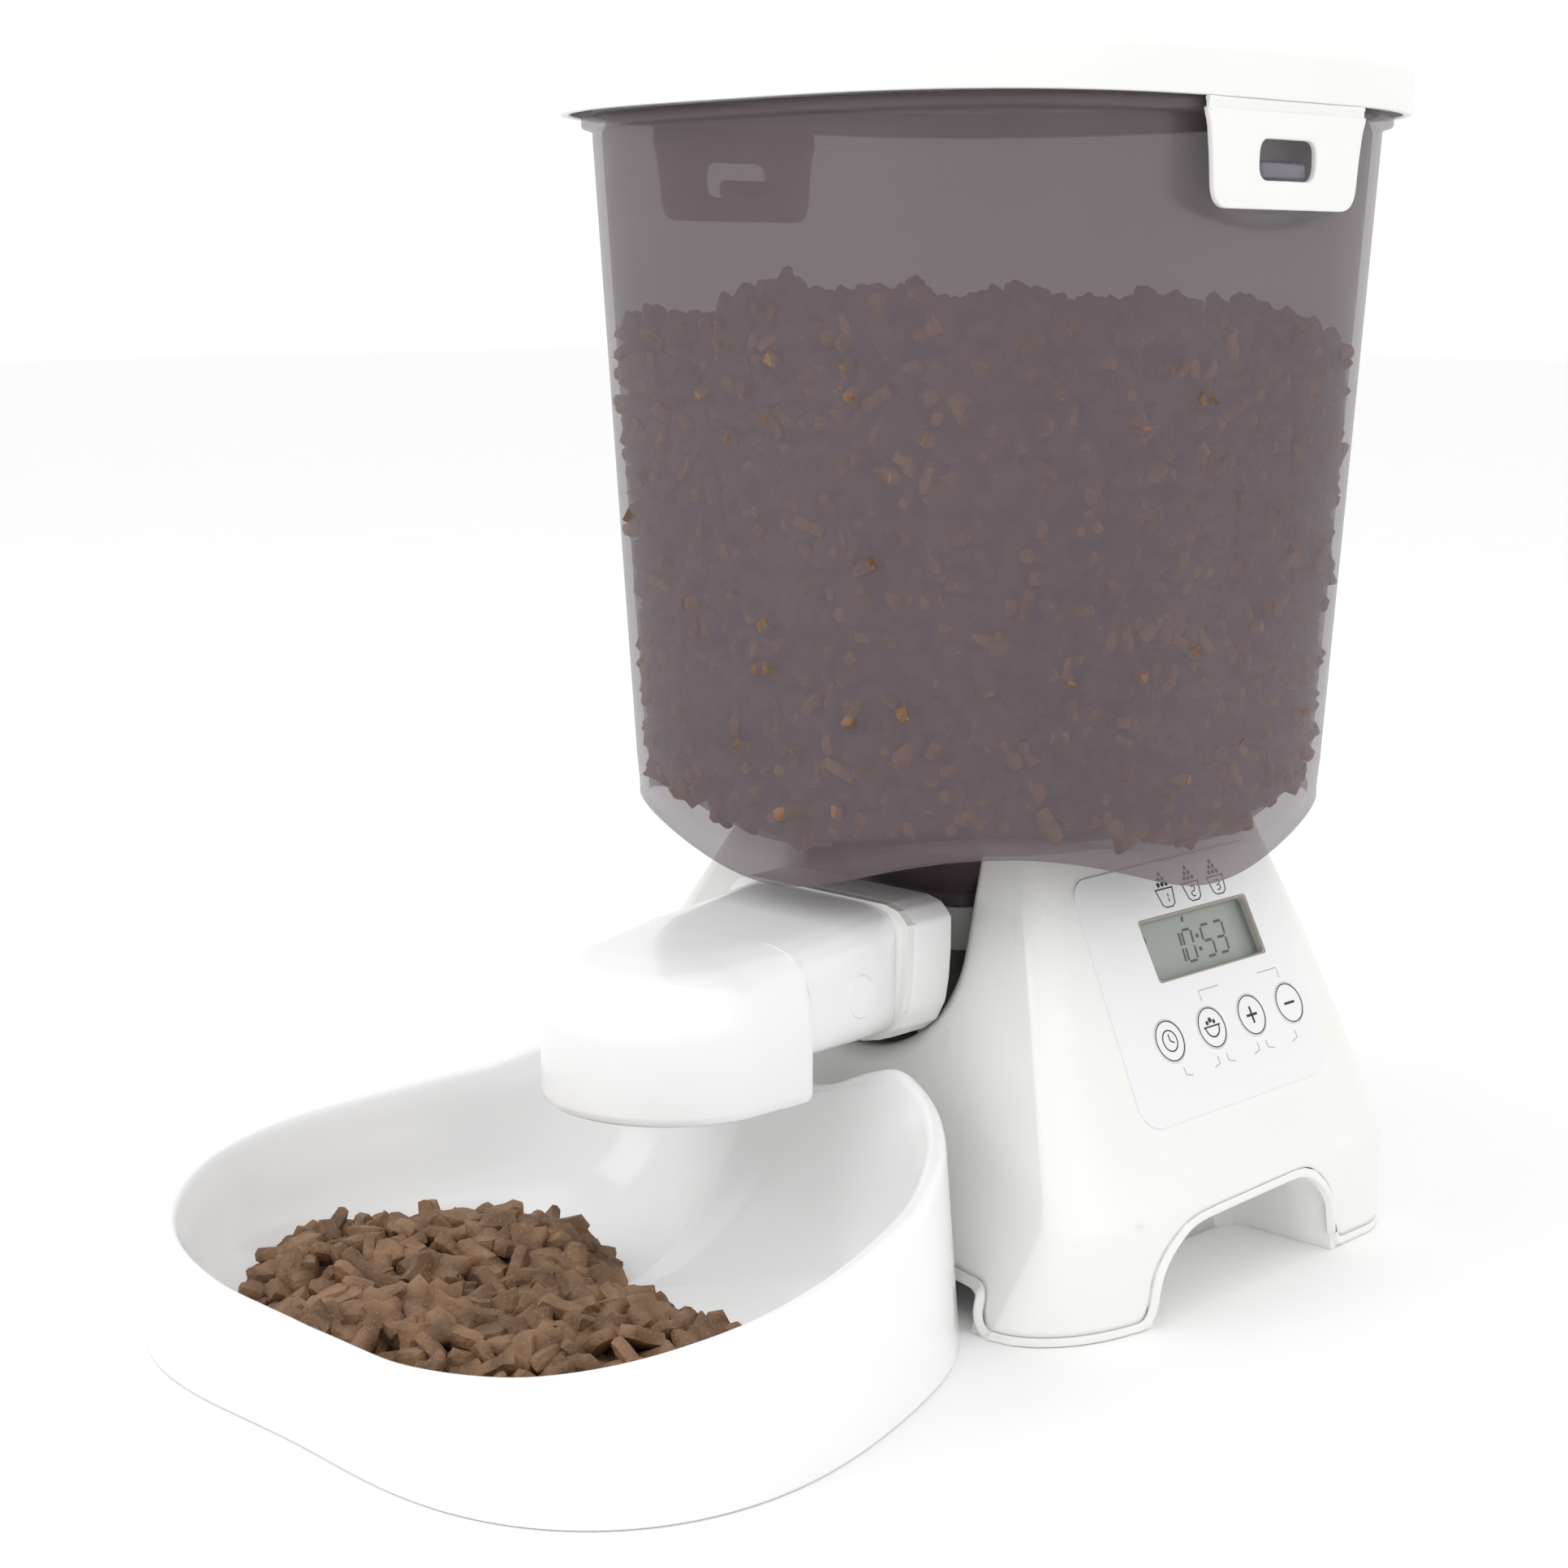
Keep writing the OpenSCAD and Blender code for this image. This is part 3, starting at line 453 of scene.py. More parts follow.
def low_edge(s):
    """Height of the shell's lower edge along s: floor bead, front notch or finger arch.

    The arch is a curve over y, and y itself moves with height, so it is met by repeated halving.
    The feet's corners are rounded by circles of 5 mm at the notch and 4 mm at the arch."""
    low, high = np.zeros_like(s), np.full_like(s, 60.0)
    for _ in range(30):
        mid = (low + high) / 2
        p = stand_point(s, mid)
        x, y = p[..., 0], p[..., 1]
        arch = np.interp(y, GROOVE[:, 0], GROOVE[:, 1], left=-1, right=-1)
        foot = 4 - np.sqrt(np.clip(16 - np.clip(y + 59.3, 0, 4) ** 2, 0, 16))
        foot = np.where(y > 0, 4 - np.sqrt(np.clip(16 - np.clip(48 - y, 0, 4) ** 2, 0, 16)), foot)
        notch = 7.85 + np.sqrt(np.clip(36 - np.clip(x - 76.85, 0, 6) ** 2, 0, 36))
        heel = 5 - np.sqrt(np.clip(25 - np.clip(87.85 - x, 0, 5) ** 2, 0, 25))
        sides = (s > 1.2) & (s < 4)
        edge = np.maximum(np.where(sides, np.maximum(arch, foot + STAND_LOW), 0),
                          np.where(s < 1.5, np.where(x < 82.85, notch, heel + STAND_LOW), 0))
        inside = mid < edge
        low, high = np.where(inside, mid, low), np.where(inside, high, mid)
    return np.maximum(high, STAND_LOW)


def high_edge(s):
    """Height of the shell's upper edge along s: the cradle's round bottom or the tower top."""
    low, high = np.full_like(s, 30.0), np.full_like(s, SEAT)
    for _ in range(30):
        mid = (low + high) / 2
        x = stand_point(s, mid)[..., 0]
        round_z = CRADLE_Z - np.sqrt(np.clip(CRADLE_R ** 2 - x ** 2, 0, None))
        cut = (s < 1) & (x < CRADLE_R) & (mid > round_z)
        low, high = np.where(cut, low, mid), np.where(cut, mid, high)
    return high


def stand_columns():
    """Values of s for the right half, closest together at the cradle, the notch and the arch."""
    ends = ((0, 0.40, 22), (0.40, 0.72, 110), (0.72, 1.0, 50), (1.0, 1.75, 26), (1.75, 2.10, 64),
            (2.10, 2.74, 66), (2.74, 2.92, 44), (2.92, 4.0, 28))
    return np.concatenate([np.linspace(a, b, n, endpoint=False) for a, b, n in ends]
                          + [np.linspace(4.0, 5.0, 12)])


def stand_sheet(rows=64):
    """Grid over the shell: columns along s on both sides, rows from the lower to the upper edge.

    Near the cradle the wall turns inwards by a quarter round of 5 mm, which softens its edge."""
    s = stand_columns()
    z0, z1 = low_edge(s), high_edge(s)
    v = np.linspace(0.0, 1.0, rows)
    z = z0 + v[:, None] * (z1 - z0)
    p = stand_point(np.broadcast_to(s, z.shape), z)
    gap = np.where(p[..., 2] > CRADLE_Z, p[..., 0], np.hypot(p[..., 0], p[..., 2] - CRADLE_Z))
    near = np.clip(gap - CRADLE_R, 0, 6.0)
    turn_in = 6.0 - np.sqrt(np.clip(36.0 - (6.0 - near) ** 2, 0, None))
    p[..., 1] += np.where(s < 2, turn_in, 0)
    left = p[:, -2:0:-1] * [-1, 1, 1]
    return np.concatenate([p, left], 1)


sheet = stand_sheet(80)
shell_faces = grid_faces(*sheet.shape[:2])
middle = sheet.reshape(-1, 3)[shell_faces].mean(1)
across = np.abs(middle[:, 1] - WINDOW[0])
up = np.abs((middle[:, 2] - FLANK[1]) / np.cos(TILT) - WINDOW[1])
window_hole = (middle[:, 0] > 0) & (across < 28.8) & (up < 10.8)
stand = put_mesh("stand_moulding", sheet, shell_faces[~window_hole], 60)
thick = stand.modifiers.new("wall", "SOLIDIFY")
thick.thickness, thick.offset = 2.3 * MM, -1.0
finish_piece(stand, warm_white, "base", "white_plastic", "stand_shell")

# ---- base cover ----
# The floor plate snaps in from below. Its rounded bead runs along the stand's whole lower edge
# and over both finger pockets, which it lines with smooth vaults.


def bead_strip():
    """A rounded bead 3 mm wide, swept along the shell's lower edge.

    The edge's direction crossed with the wall's outward direction points down the wall; each
    column's section is laid out along these two."""
    s = stand_columns()
    edge = stand_point(s, low_edge(s))
    along = np.gradient(edge, axis=0)
    along /= np.linalg.norm(along, axis=1)[:, None]
    out = stand_point(s, edge[:, 2], -1.0) - edge
    out = out - (out * along).sum(1)[:, None] * along
    out /= np.linalg.norm(out, axis=1)[:, None]
    down = np.cross(along, out)
    rows = []
    for o, d in ((-2.4, 3.3), (-0.6, 3.3), (-0.05, 3.1), (0.15, 2.6), (0.15, 1.0), (0.0, 0.6),
                 (-0.6, 0.45), (-2.4, 0.45)):
        p = edge + o * out + d * down
        p[:, 2] = np.maximum(p[:, 2], 0.05)
        rows.append(np.concatenate([p, p[-2:0:-1] * [-1, 1, 1]], 0))
    return np.array(rows)


bead = bead_strip()
edge_bead = put_mesh("edge_bead", bead, grid_faces(*bead.shape[:2], loop_rows=True), 50)
finish_piece(edge_bead, warm_white, "base", "white_plastic")


def resampled_open(path, count):
    """count points evenly spaced along an open line."""
    length = np.concatenate([[0.0], np.cumsum(np.linalg.norm(np.diff(path, axis=0), axis=1))])
    at = np.linspace(0.0, length[-1], count)
    return np.stack([np.interp(at, length, path[:, j]) for j in (0, 1)], 1)


def vault(side):
    """Finger pocket lining: the arch carried inwards, closing to the inner wall by a quarter round."""
    line = resampled_open(ARCH, 90)
    rows = []
    for x, inset in ((None, 0.0), (100.0, 0.15), (86.0, 0.4), (80.0, 1.4), (77.8, 3.6), (77.0, 8.0)):
        y = line[:, 0] + (-6 - line[:, 0]) * inset / 50
        z = np.maximum(line[:, 1] - inset, 0.05)
        xx = flank_x(np.maximum(z, 0)) - 0.6 if x is None else np.full_like(y, x)
        rows.append(np.stack([xx, y, z], -1))
    rows.append(np.stack([np.full(90, 77.0), line[:, 0] * 0.8, np.full(90, 0.05)], -1))
    return np.array(rows) * [side, 1, 1]


for side, name in ((1, "finger_pocket_right"), (-1, "finger_pocket_left")):
    lining = vault(side)
    faces = grid_faces(*lining.shape[:2], loop_columns=False)
    pocket = put_mesh(name, lining, faces[:, ::-1] if side > 0 else faces, 50)
    shell = pocket.modifiers.new("wall", "SOLIDIFY")
    shell.thickness, shell.offset = 0.6 * MM, 0.0
    finish_piece(pocket, warm_white, "base", "white_plastic")

# ---- nozzle ----
# A glossy white chute: a square neck pushed on the feed collar and a D-shaped hood, open
# underneath, whose top edge is one broad quarter round.


SHOULDER = rounded_step((0.0, 91.0), (16.0, 108.9), (0.4, 107.9), 16)   # inset and height


def hood_ring(z, inset, back=0.0, count=160):
    """D-shaped plan at height z: a flat back, straight sides and half an ellipse at the front.

    The sides close in more slowly towards the back, and above 92 mm the plan tilts up to the neck."""
    h, rear = 38.6 - inset, 38.6 - 0.6 * inset
    corner = around_outline([(rear, -138), (rear, -117 - back), (-rear, -117 - back)],
                            [0, 0.1, 0])[10:20]
    t = np.linspace(0, np.pi, 60)
    bow = np.stack([-h * np.cos(t), -138 - (39 - inset) * np.sin(t)], 1)
    outline = np.vstack([corner[::-1] * [-1, 1], bow, corner])
    outline = resampled(outline, count, (0.0, -117.0 - back))
    tilt = max(0.0, z - 92) * (outline[:, 1] + 150) / 240
    return np.column_stack([outline, z + tilt])


def hood_rings():
    """Inside from its middle down to the open edge, over the lip, and up the outside to the middle."""
    crown = [(22.0, 109.7), (29.0, 110.0), (35.0, 110.1), (38.0, 110.1)]
    inside = [(z - 2.6, i + 2.6) for i, z in reversed(SHOULDER.tolist())]
    rows = [hood_ring(107.4, 38.0, 2.6), hood_ring(107.0, 30.0, 2.6)]
    rows += [hood_ring(z, i, 2.6) for z, i in inside]
    rows += [hood_ring(67.6, 2.6, 2.6), hood_ring(67.2, 2.0, 2.0), hood_ring(67.2, 0.8, 0.8),
             hood_ring(67.9, 0.1, 0.1), hood_ring(70.0, 0.0), hood_ring(82.0, 0.0)]
    rows += [hood_ring(z, i) for i, z in SHOULDER] + [hood_ring(z, i) for i, z in crown]
    return np.array(rows)


gloss_white = moulding("gloss_white", (0.93, 0.935, 0.935), (0.16, 0.22), 500.0, 0.003, 0.008, 0.25)
hood = put_closed("nozzle_hood", hood_rings(), 50)
finish_piece(hood, gloss_white, "nozzle", "gloss_white", "nozzle")


def neck_ring(y, w, low, thick, count=128):
    """Section of the neck at depth y: its roof carries on the hood's own section and tilt."""
    inset, height = np.vstack([SHOULDER, [(22.0, 109.7), (29.0, 110.0), (38.0, 110.1)]]).T
    top = np.interp(38.6 - w, 0.6 * inset, height)
    outline = around_outline([(w, low), (w, top), (-w, top), (-w, low)], [12.0, 3.0, 3.0, 12.0])
    x, z = resampled(outline, count, (0.0, low)).T
    roof = np.interp(38.6 - np.abs(x), 0.6 * inset, height) - top
    z = z + roof * np.clip((z - low) / (top - low), 0, 1) ** 8
    back = max(0.0, (y + 117) / 41)
    z = z + np.clip(z - 92, 0, None) * ((y + 150) / 240 + 0.11 * back ** 2)
    z = z - thick * (z > 95)
    return np.column_stack([x, np.full(count, y), z])


neck_rows = [neck_ring(y, w, 76.5, 0.0) for y, w in
             ((-119.4, 35.0), (-112.0, 34.9), (-100.0, 34.6), (-88.0, 34.3), (-76.6, 34.0),
              (-76.05, 33.4))]
neck_rows += [neck_ring(y, w, 79.1, 2.6) for y, w in
              ((-76.05, 32.2), (-88.0, 31.6), (-100.0, 31.9), (-119.4, 32.3))]
neck_rows = np.array(neck_rows)
neck = put_mesh("nozzle_neck", neck_rows,
                grid_faces(*neck_rows.shape[:2], loop_rows=True), 50)
finish_piece(neck, gloss_white, "nozzle", "gloss_white")

# ---- feed collar ----
# The front plate of the feed housing, white, with chamfered shoulders and rounded lower corners.
# The nozzle butts on it.


def collar_rings():
    """Plate outline swept from its back edge, round a 4 mm front edge, to the face at the bore."""
    half = [(38.4, 113), (38.4, 103), (37.8, 94), (36.4, 86), (33, 79.6), (27.6, 75.4), (20, 73.6)]
    top = [(29, 118.2), (34.5, 116.8)]
    outline = around_outline([(-x, z) for x, z in half] + [(x, z) for x, z in half[::-1]]
                             + [(x, z) for x, z in top[::-1]] + [(-x, z) for x, z in top],
                             [2, 3, 3, 3, 2, 2, 2] + [2, 2, 2, 3, 3, 3, 2] + [2, 2] + [2, 2])
    outline = resampled(outline, 200)
    rows = []
    for y, inset in ((-56.6, 1.0), (-56.6, -0.3), (-71.6, -0.3), (-73.2, 0.05), (-74.6, 0.7),
                     (-75.6, 1.6), (-76.15, 2.7)):
        rows.append(np.column_stack([grown(outline, -inset), np.full(200, y)]))
    rows.append(np.column_stack([(outline - [0, 96]) * 0.8 + [0, 96], np.full(200, -76.15)]))
    return np.array(rows)[..., [0, 2, 1]]


collar_rows = collar_rings()
collar = put_mesh("feed_collar", collar_rows, grid_faces(*collar_rows.shape[:2], loop_rows=True), 50)
finish_piece(collar, gloss_white, "base", "white_plastic")

# ---- bowl ----
# One glossy white tray with a thick rolled rim and an outer skirt down to the floor. It is
# shallow in front, and its sides rise to two shoulders that flank the nozzle.
BOWL_FRONT, BOWL_REAR = 30.0, 73.0
BOWL_AROUND = 240


def bowl_radius(p):
    """Foot radius at angle p from the front: 113 plus a few cosines, which give its squarish egg."""
    return (113 + 15.6 * np.cos(p) - 6.4 * np.cos(2 * p) - 4.5 * np.cos(3 * p) - 6.2 * np.cos(4 * p))


BOWL_Y = -280 + np.max(bowl_radius(np.radians(np.arange(0, 65, 5))) *
                       np.cos(np.radians(np.arange(0, 65, 5))))


def rim_height(p):
    """Rim height at angle p from the front, eased between the heights at its corners."""
    knots = np.radians([-40, -20, 0, 20, 40, 60, 75, 110, 135, 150, 159, 168, 180, 192, 201, 210])
    rise = [6.5, 1.5, 0, 1.5, 6.5, 14, 18, BOWL_REAR - 49, 37, 43, 38, 31, 28, 31, 38, 43]
    fine = np.linspace(knots[0], knots[-1], 500)
    line = BOWL_FRONT + np.interp(fine, knots, rise)
    soft = np.convolve(np.pad(line, 12, "edge"), np.hanning(25) / np.hanning(25).sum(), "valid")
    return np.interp(p, fine, soft)


def bowl_ring(fraction, inset, z=None, drop=None):
    """Ring at a fraction of the foot radius less inset: at height z, drop below the rim, or, with
    neither, on the floor curve 9 + (rim - 9) fraction^e, steep in front and a ramp at the back."""
    a = np.linspace(0, 2 * np.pi, BOWL_AROUND, endpoint=False)
    p = np.minimum(a, 2 * np.pi - a)
    r = fraction * (bowl_radius(p) - inset)
    rim = rim_height(p)
    steep = 16 + (2.6 - 16) * np.clip((np.degrees(p) - 60) / 110, 0, 1)
    floor_z = 9 + (rim - 9) * fraction ** steep
    height = np.full_like(a, z) if z is not None else rim - drop if drop is not None else floor_z
    return np.stack([r * np.sin(a), BOWL_Y - r * np.cos(a), height], -1)


STEPS = [0.985, 0.97, 0.95, 0.93, 0.9, 0.87, 0.83, 0.78, 0.72, 0.64, 0.55, 0.45, 0.34, 0.22, 0.1]
under = []
for step in STEPS[::-1]:
    ring = bowl_ring(step, 10.6)
    ring[:, 2] -= WALL + (3.0 if step > 0.96 else 0.0)
    under.append(ring)
lip = [bowl_ring(1, 8.4, drop=6.0), bowl_ring(1, 2.8, z=6.0), bowl_ring(1, 2.2, z=0.3),
       bowl_ring(1, 1.2, z=0.0), bowl_ring(1, 0.3, z=0.5), bowl_ring(1, 0.0, z=1.6)]
lip += [bowl_ring(1, i, drop=d) for i, d in ((4.3, 5.0), (4.6, 3.4), (5.0, 2.0), (5.7, 0.9),
        (6.7, 0.2), (7.8, 0.0), (8.8, 0.25), (9.6, 0.9), (10.2, 1.9), (10.6, 3.2))]
top_side = [bowl_ring(step, 10.6) for step in STEPS]
bowl = put_closed("bowl_tray", np.array(under + lip + top_side), 60)
finish_piece(bowl, gloss_white, "bowl", "gloss_white", "bowl")
for k, x in enumerate((-45.0, 0.0, 40.0)):
    rib = put_block("bowl_rib_%d" % (k + 1), (x + 2.5, -70.0, 4.6), (5, 4, 2.6), 0.8)
    finish_piece(rib, gloss_white, "bowl", "gloss_white")
tongue = put_block("bowl_tongue", (0, -77.4, 2.5), (100, 25.2, 2.6), 0.8)
finish_piece(tongue, gloss_white, "bowl", "gloss_white")

# ---- dry food ----
# Star, fish and cross shaped biscuits about 11 mm across, pressed and baked, with a dry speckled
# crust. Loose pieces fill the front of the bowl and the lower two thirds of the hopper.
PELLET_SIDES = 12
food_random = np.random.default_rng(20)


def pellet_forms(count, size):
    """Low biscuit forms: outline radius = size (1 + b cos(k t + f) + c cos(t + g)), pinched in five
    rings from pole to pole; k from 3 to 5 gives fish, crosses and stars."""
    t = np.linspace(0, 2 * np.pi, PELLET_SIDES, endpoint=False)
    draw = food_random.uniform(0, 1, (count, 6))
    k = np.array([3, 4, 5, 4])[(draw[:, 0] * 4).astype(int)][:, None]
    r = 1 + (0.16 + 0.14 * draw[:, 1:2]) * np.cos(k * t + 6.3 * draw[:, 2:3])
    r = r * (1 + (0.1 + 0.16 * draw[:, 3:4]) * np.cos(t + 6.3 * draw[:, 4:5]))
    across = np.array([0.55, 0.93, 1.0, 0.93, 0.55])[None, :, None] * r[:, None, :]
    up = np.array([-1, -0.7, 0, 0.7, 1.0])[None, :, None] * (0.36 + 0.12 * draw[:, 5])[:, None, None]
    ring = np.stack([across * np.cos(t), across * np.sin(t), np.broadcast_to(up, across.shape)], -1)
    ring = ring * (size * (0.82 + 0.3 * draw[:, 1]))[:, None, None, None]
    poles = np.stack([ring[:, 0].mean(1), ring[:, -1].mean(1)], 1) * [1, 1, 1.08]
    return np.concatenate([ring.reshape(count, -1, 3), poles], 1)


def scattered(name, places, size, flat):
    """Pellets at the given points, each turned by a random unit quaternion; flat pulls it level."""
    forms = pellet_forms(len(places), size)
    q = food_random.normal(0, 1, (len(places), 4)) * [1.0, flat, flat, 1.0]
    w, x, y, z = (q / np.linalg.norm(q, axis=1)[:, None]).T
    turn_by = np.stack([1 - 2 * (y * y + z * z), 2 * (x * y - w * z), 2 * (x * z + w * y),
                        2 * (x * y + w * z), 1 - 2 * (x * x + z * z), 2 * (y * z - w * x),
                        2 * (x * z - w * y), 2 * (y * z + w * x), 1 - 2 * (x * x + y * y)], 1)
    forms = np.einsum("nij,nkj->nki", turn_by.reshape(-1, 3, 3), forms) + places[:, None, :]
    n = PELLET_SIDES
    i = np.arange(n)
    j = (i + 1) % n
    sides = grid_faces(5, n)
    sides = np.vstack([sides[:, [0, 1, 2]], sides[:, [0, 2, 3]]])
    ends = np.vstack([np.stack([np.full(n, 5 * n), j, i], 1),
                      np.stack([np.full(n, 5 * n + 1), 4 * n + i, 4 * n + j], 1)])
    faces = (np.vstack([sides, ends])[None] + (5 * n + 2) * np.arange(len(places))[:, None, None])
    return put_mesh(name, forms.reshape(-1, 3), faces.reshape(-1, 3), 55)


def side_distance(x, y, outline):
    """Distance of points from a closed outline, positive inside it."""
    a = np.asarray(outline, float)
    b = np.roll(a, -1, 0)
    p = np.stack([x, y], -1)[..., None, :]
    t = np.clip(((p - a) * (b - a)).sum(-1) / ((b - a) ** 2).sum(-1), 0, 1)
    near = np.linalg.norm(p - (a + t[..., None] * (b - a)), axis=-1).min(-1)
    over = (a[:, 1] > p[..., 1]) != (b[:, 1] > p[..., 1])
    left = p[..., 0] < (b - a)[:, 0] * (p[..., 1] - a[:, 1]) / ((b - a)[:, 1] + 1e-9) + a[:, 0]
    return np.where((over & left).sum(-1) % 2 == 1, near, -near)


HEAP = [(-86, -224), (-90, -200), (-72, -184), (-50, -160), (-38, -148), (-18, -150), (0, -164),
        (25, -170), (48, -173), (80, -168), (93, -186), (90, -222), (66, -250), (30, -263),
        (-25, -264), (-62, -252)]


def heap_height(x, y):
    """Top of the bowl's heap: it climbs from its outline at 40 degrees to a low uneven crown."""
    d = np.clip(side_distance(x, y, HEAP), -4, None)
    swell = 2.2 * np.sin(x / 17.0 + 1.0) * np.cos(y / 13.0) + 4.5 * np.exp(-((x + 32) ** 2 +
                                                                         (y + 172) ** 2) / 700.0)
    return 10.5 + 14.0 * (1 - np.exp(-np.clip(d, 0, None) / 9.0)) + swell * np.clip(d / 14, 0, 1)


def loose_grid(x0, x1, y0, y1, step, jitter):
    """Points of a triangular lattice over a rectangle, each moved at random by up to jitter."""
    gx, gy = np.meshgrid(np.arange(x0, x1, step), np.arange(y0, y1, step * 0.87))
    gx = gx + step / 2 * (np.arange(len(gx)) % 2)[:, None]
    move = food_random.uniform(-jitter, jitter, (2, *gx.shape))
    return (gx + move[0]).ravel(), (gy + move[1]).ravel()


heap_places = []
for step, drop, margin in ((8.3, 0.5, 1.5), (9.0, 5.0, 0.0), (10.0, 9.5, -1.0)):
    px, py = loose_grid(-96, 98, -268, -144, step, 2.0)
    keep = side_distance(px, py, HEAP) > margin
    px, py = px[keep], py[keep]
    pz = np.maximum(heap_height(px, py) - drop + food_random.uniform(-1.6, 1.8, len(px)), 12.5)
    heap_places.append(np.stack([px, py, pz], 1))
bowl_food = scattered("kibble_in_bowl", np.vstack(heap_places), 6.0, 0.45)

biscuit, tree, shader, where = node_material("biscuit")
crust = mottle(tree, where, 90.0, (0.13, 0.068, 0.034), (0.27, 0.155, 0.083), 4.0)
speck = tree.nodes.new("ShaderNodeTexVoronoi")
speck.inputs["Scale"].default_value = 700.0
tree.links.new(where, speck.inputs["Vector"])
fleck = tree.nodes.new("ShaderNodeMapRange")
fleck.inputs["From Min"].default_value, fleck.inputs["From Max"].default_value = 0.16, 0.08
tree.links.new(speck.outputs["Distance"], fleck.inputs["Value"])
blend = tree.nodes.new("ShaderNodeMix")
blend.data_type = "RGBA"
blend.inputs["B"].default_value = (0.42, 0.28, 0.15, 1.0)
tree.links.new(fleck.outputs["Result"], blend.inputs["Factor"])
tree.links.new(crust, blend.inputs["A"])
tree.links.new(blend.outputs["Result"], shader.inputs["Base Color"])
rough_and_bump(tree, shader, where, (0.62, 0.85), 520.0, 0.35)
finish_piece(bowl_food, biscuit, "bowl", None)


def food_level(x, y):
    """Top of the food in the hopper, uneven by a few mm and higher along one corner."""
    return (290.0 + 3.5 * np.sin(x / 21.0 + 0.6) + 3.0 * np.cos(y / 17.0) + 0.04 * (x - y)
            + 2.0 * np.sin((x + y) / 9.0))


def wall_places():
    """Points just inside the hopper's wall, from the skirt up to the food's level."""
    count, rows = 94, 20
    t = np.linspace(0, 2 * np.pi, count, endpoint=False)
    low = 146.5 - 6.0 * np.cos(4 * t)
    z = low + (297.0 - low) * np.linspace(0, 1, rows)[:, None]
    z = z + food_random.uniform(-2.6, 2.6, (rows, count))
    t = t + np.pi / count * (np.arange(rows) % 2)[:, None]
    t = t + food_random.uniform(-0.022, 0.022, (rows, count))
    half = np.stack([HOP_LOW[k] + (HOP_TOP[k] - HOP_LOW[k]) * (z - 139) / 211 - 5.9 for k in (0, 1)])
    r = ((np.abs(np.cos(t)) / half[0]) ** SQUARE + (np.abs(np.sin(t)) / half[1]) ** SQUARE) ** (
        -1 / SQUARE)
    r = r - food_random.uniform(0, 2.2, r.shape)
    p = np.stack([r * np.cos(t), r * np.sin(t), z], -1).reshape(-1, 3)
    return p[p[:, 2] < food_level(p[:, 0], p[:, 1]) + 1.5]


px, py = loose_grid(-92, 92, -92, 92, 9.4, 2.4)
keep = (np.abs(px) / 96) ** SQUARE + (np.abs(py) / 96) ** SQUARE < 1
px, py = px[keep], py[keep]
top_food = np.stack([px, py, food_level(px, py) + food_random.uniform(-2, 2.5, len(px))], 1)
hopper_food = scattered("kibble_in_hopper", np.vstack([wall_places(), top_food]), 5.4, 1.0)
finish_piece(hopper_food, biscuit, "hopper", None)
core_rings = [oval(24, 23, 112, 5, -12, count=64), oval(47, 43, 133, 3, 5, count=64),
              oval(80, 80, 143, count=64), bin_ring(14.0, 149.0, 5.0)[::4], bin_ring(11.0, 158.0)[::4],
              oval(93, 94, 278, count=64), oval(80, 80, 284, count=64)]
core = put_closed("kibble_core", np.array(core_rings), 60)
finish_piece(core, biscuit, "hopper", None)

# ---- control panel ----
# A printed film on the sloping face with four domed keys, and a reflective grey-green display
# behind a clear window in a taupe bezel. Marks are screen printed in black and grey.
KEY_H, KEY_V = (-17.8, 3.8, 24.8, 45.4), 25.4


def on_panel(h, v, lift):
    """Panel coordinates h along Y, v up the slope and lift off it, as points in mm."""
    h, v, lift = np.broadcast_arrays(h, v, lift)
    return np.stack([FLANK[0] - np.sin(TILT) * v + np.cos(TILT) * lift, h,
                     FLANK[1] + np.cos(TILT) * v + np.sin(TILT) * lift], -1)


def stroke(path, width, lift, thick=0.08, closed=False):
    """A printed line: a flat bar of that width carried along a path on the panel, with its ends."""
    p = np.asarray(path, float)
    ahead = np.roll(p, -1, 0) - p if closed else np.gradient(p, axis=0)
    if closed:
        ahead = ahead + np.roll(ahead, 1, 0)
    side = np.stack([ahead[:, 1], -ahead[:, 0]], 1) / np.linalg.norm(ahead, axis=1)[:, None]
    a, b = p + side * width / 2, p - side * width / 2
    ring = np.stack([on_panel(a[:, 0], a[:, 1], lift), on_panel(a[:, 0], a[:, 1], lift + thick),
                     on_panel(b[:, 0], b[:, 1], lift + thick), on_panel(b[:, 0], b[:, 1], lift)], 1)
    faces = grid_faces(len(p), 4, loop_rows=closed)
    if closed:
        return ring.reshape(-1, 3), faces
    last = 4 * (len(p) - 1)
    ends = np.array([[3, 2, 1, 0], [last, last + 1, last + 2, last + 3]])
    return ring.reshape(-1, 3), np.vstack([faces, ends])


def put_marks(name, strokes, material, slot, body="base"):
    """Joins printed strokes into one piece."""
    points, faces, first = [], [], 0
    for p, f in strokes:
        points.append(p)
        faces.append(f + first)
        first += len(p)
    piece = put_mesh(name, np.vstack(points), np.vstack(faces), 20)
    finish_piece(piece, material, body, slot)
    return piece


def circle(h, v, r, start=0, end=360, count=48):
    """Points of an arc on the panel."""
    a = np.radians(np.linspace(start, end, count, endpoint=abs(end - start) < 360))
    return np.stack([h + r * np.cos(a), v + r * np.sin(a)], 1)


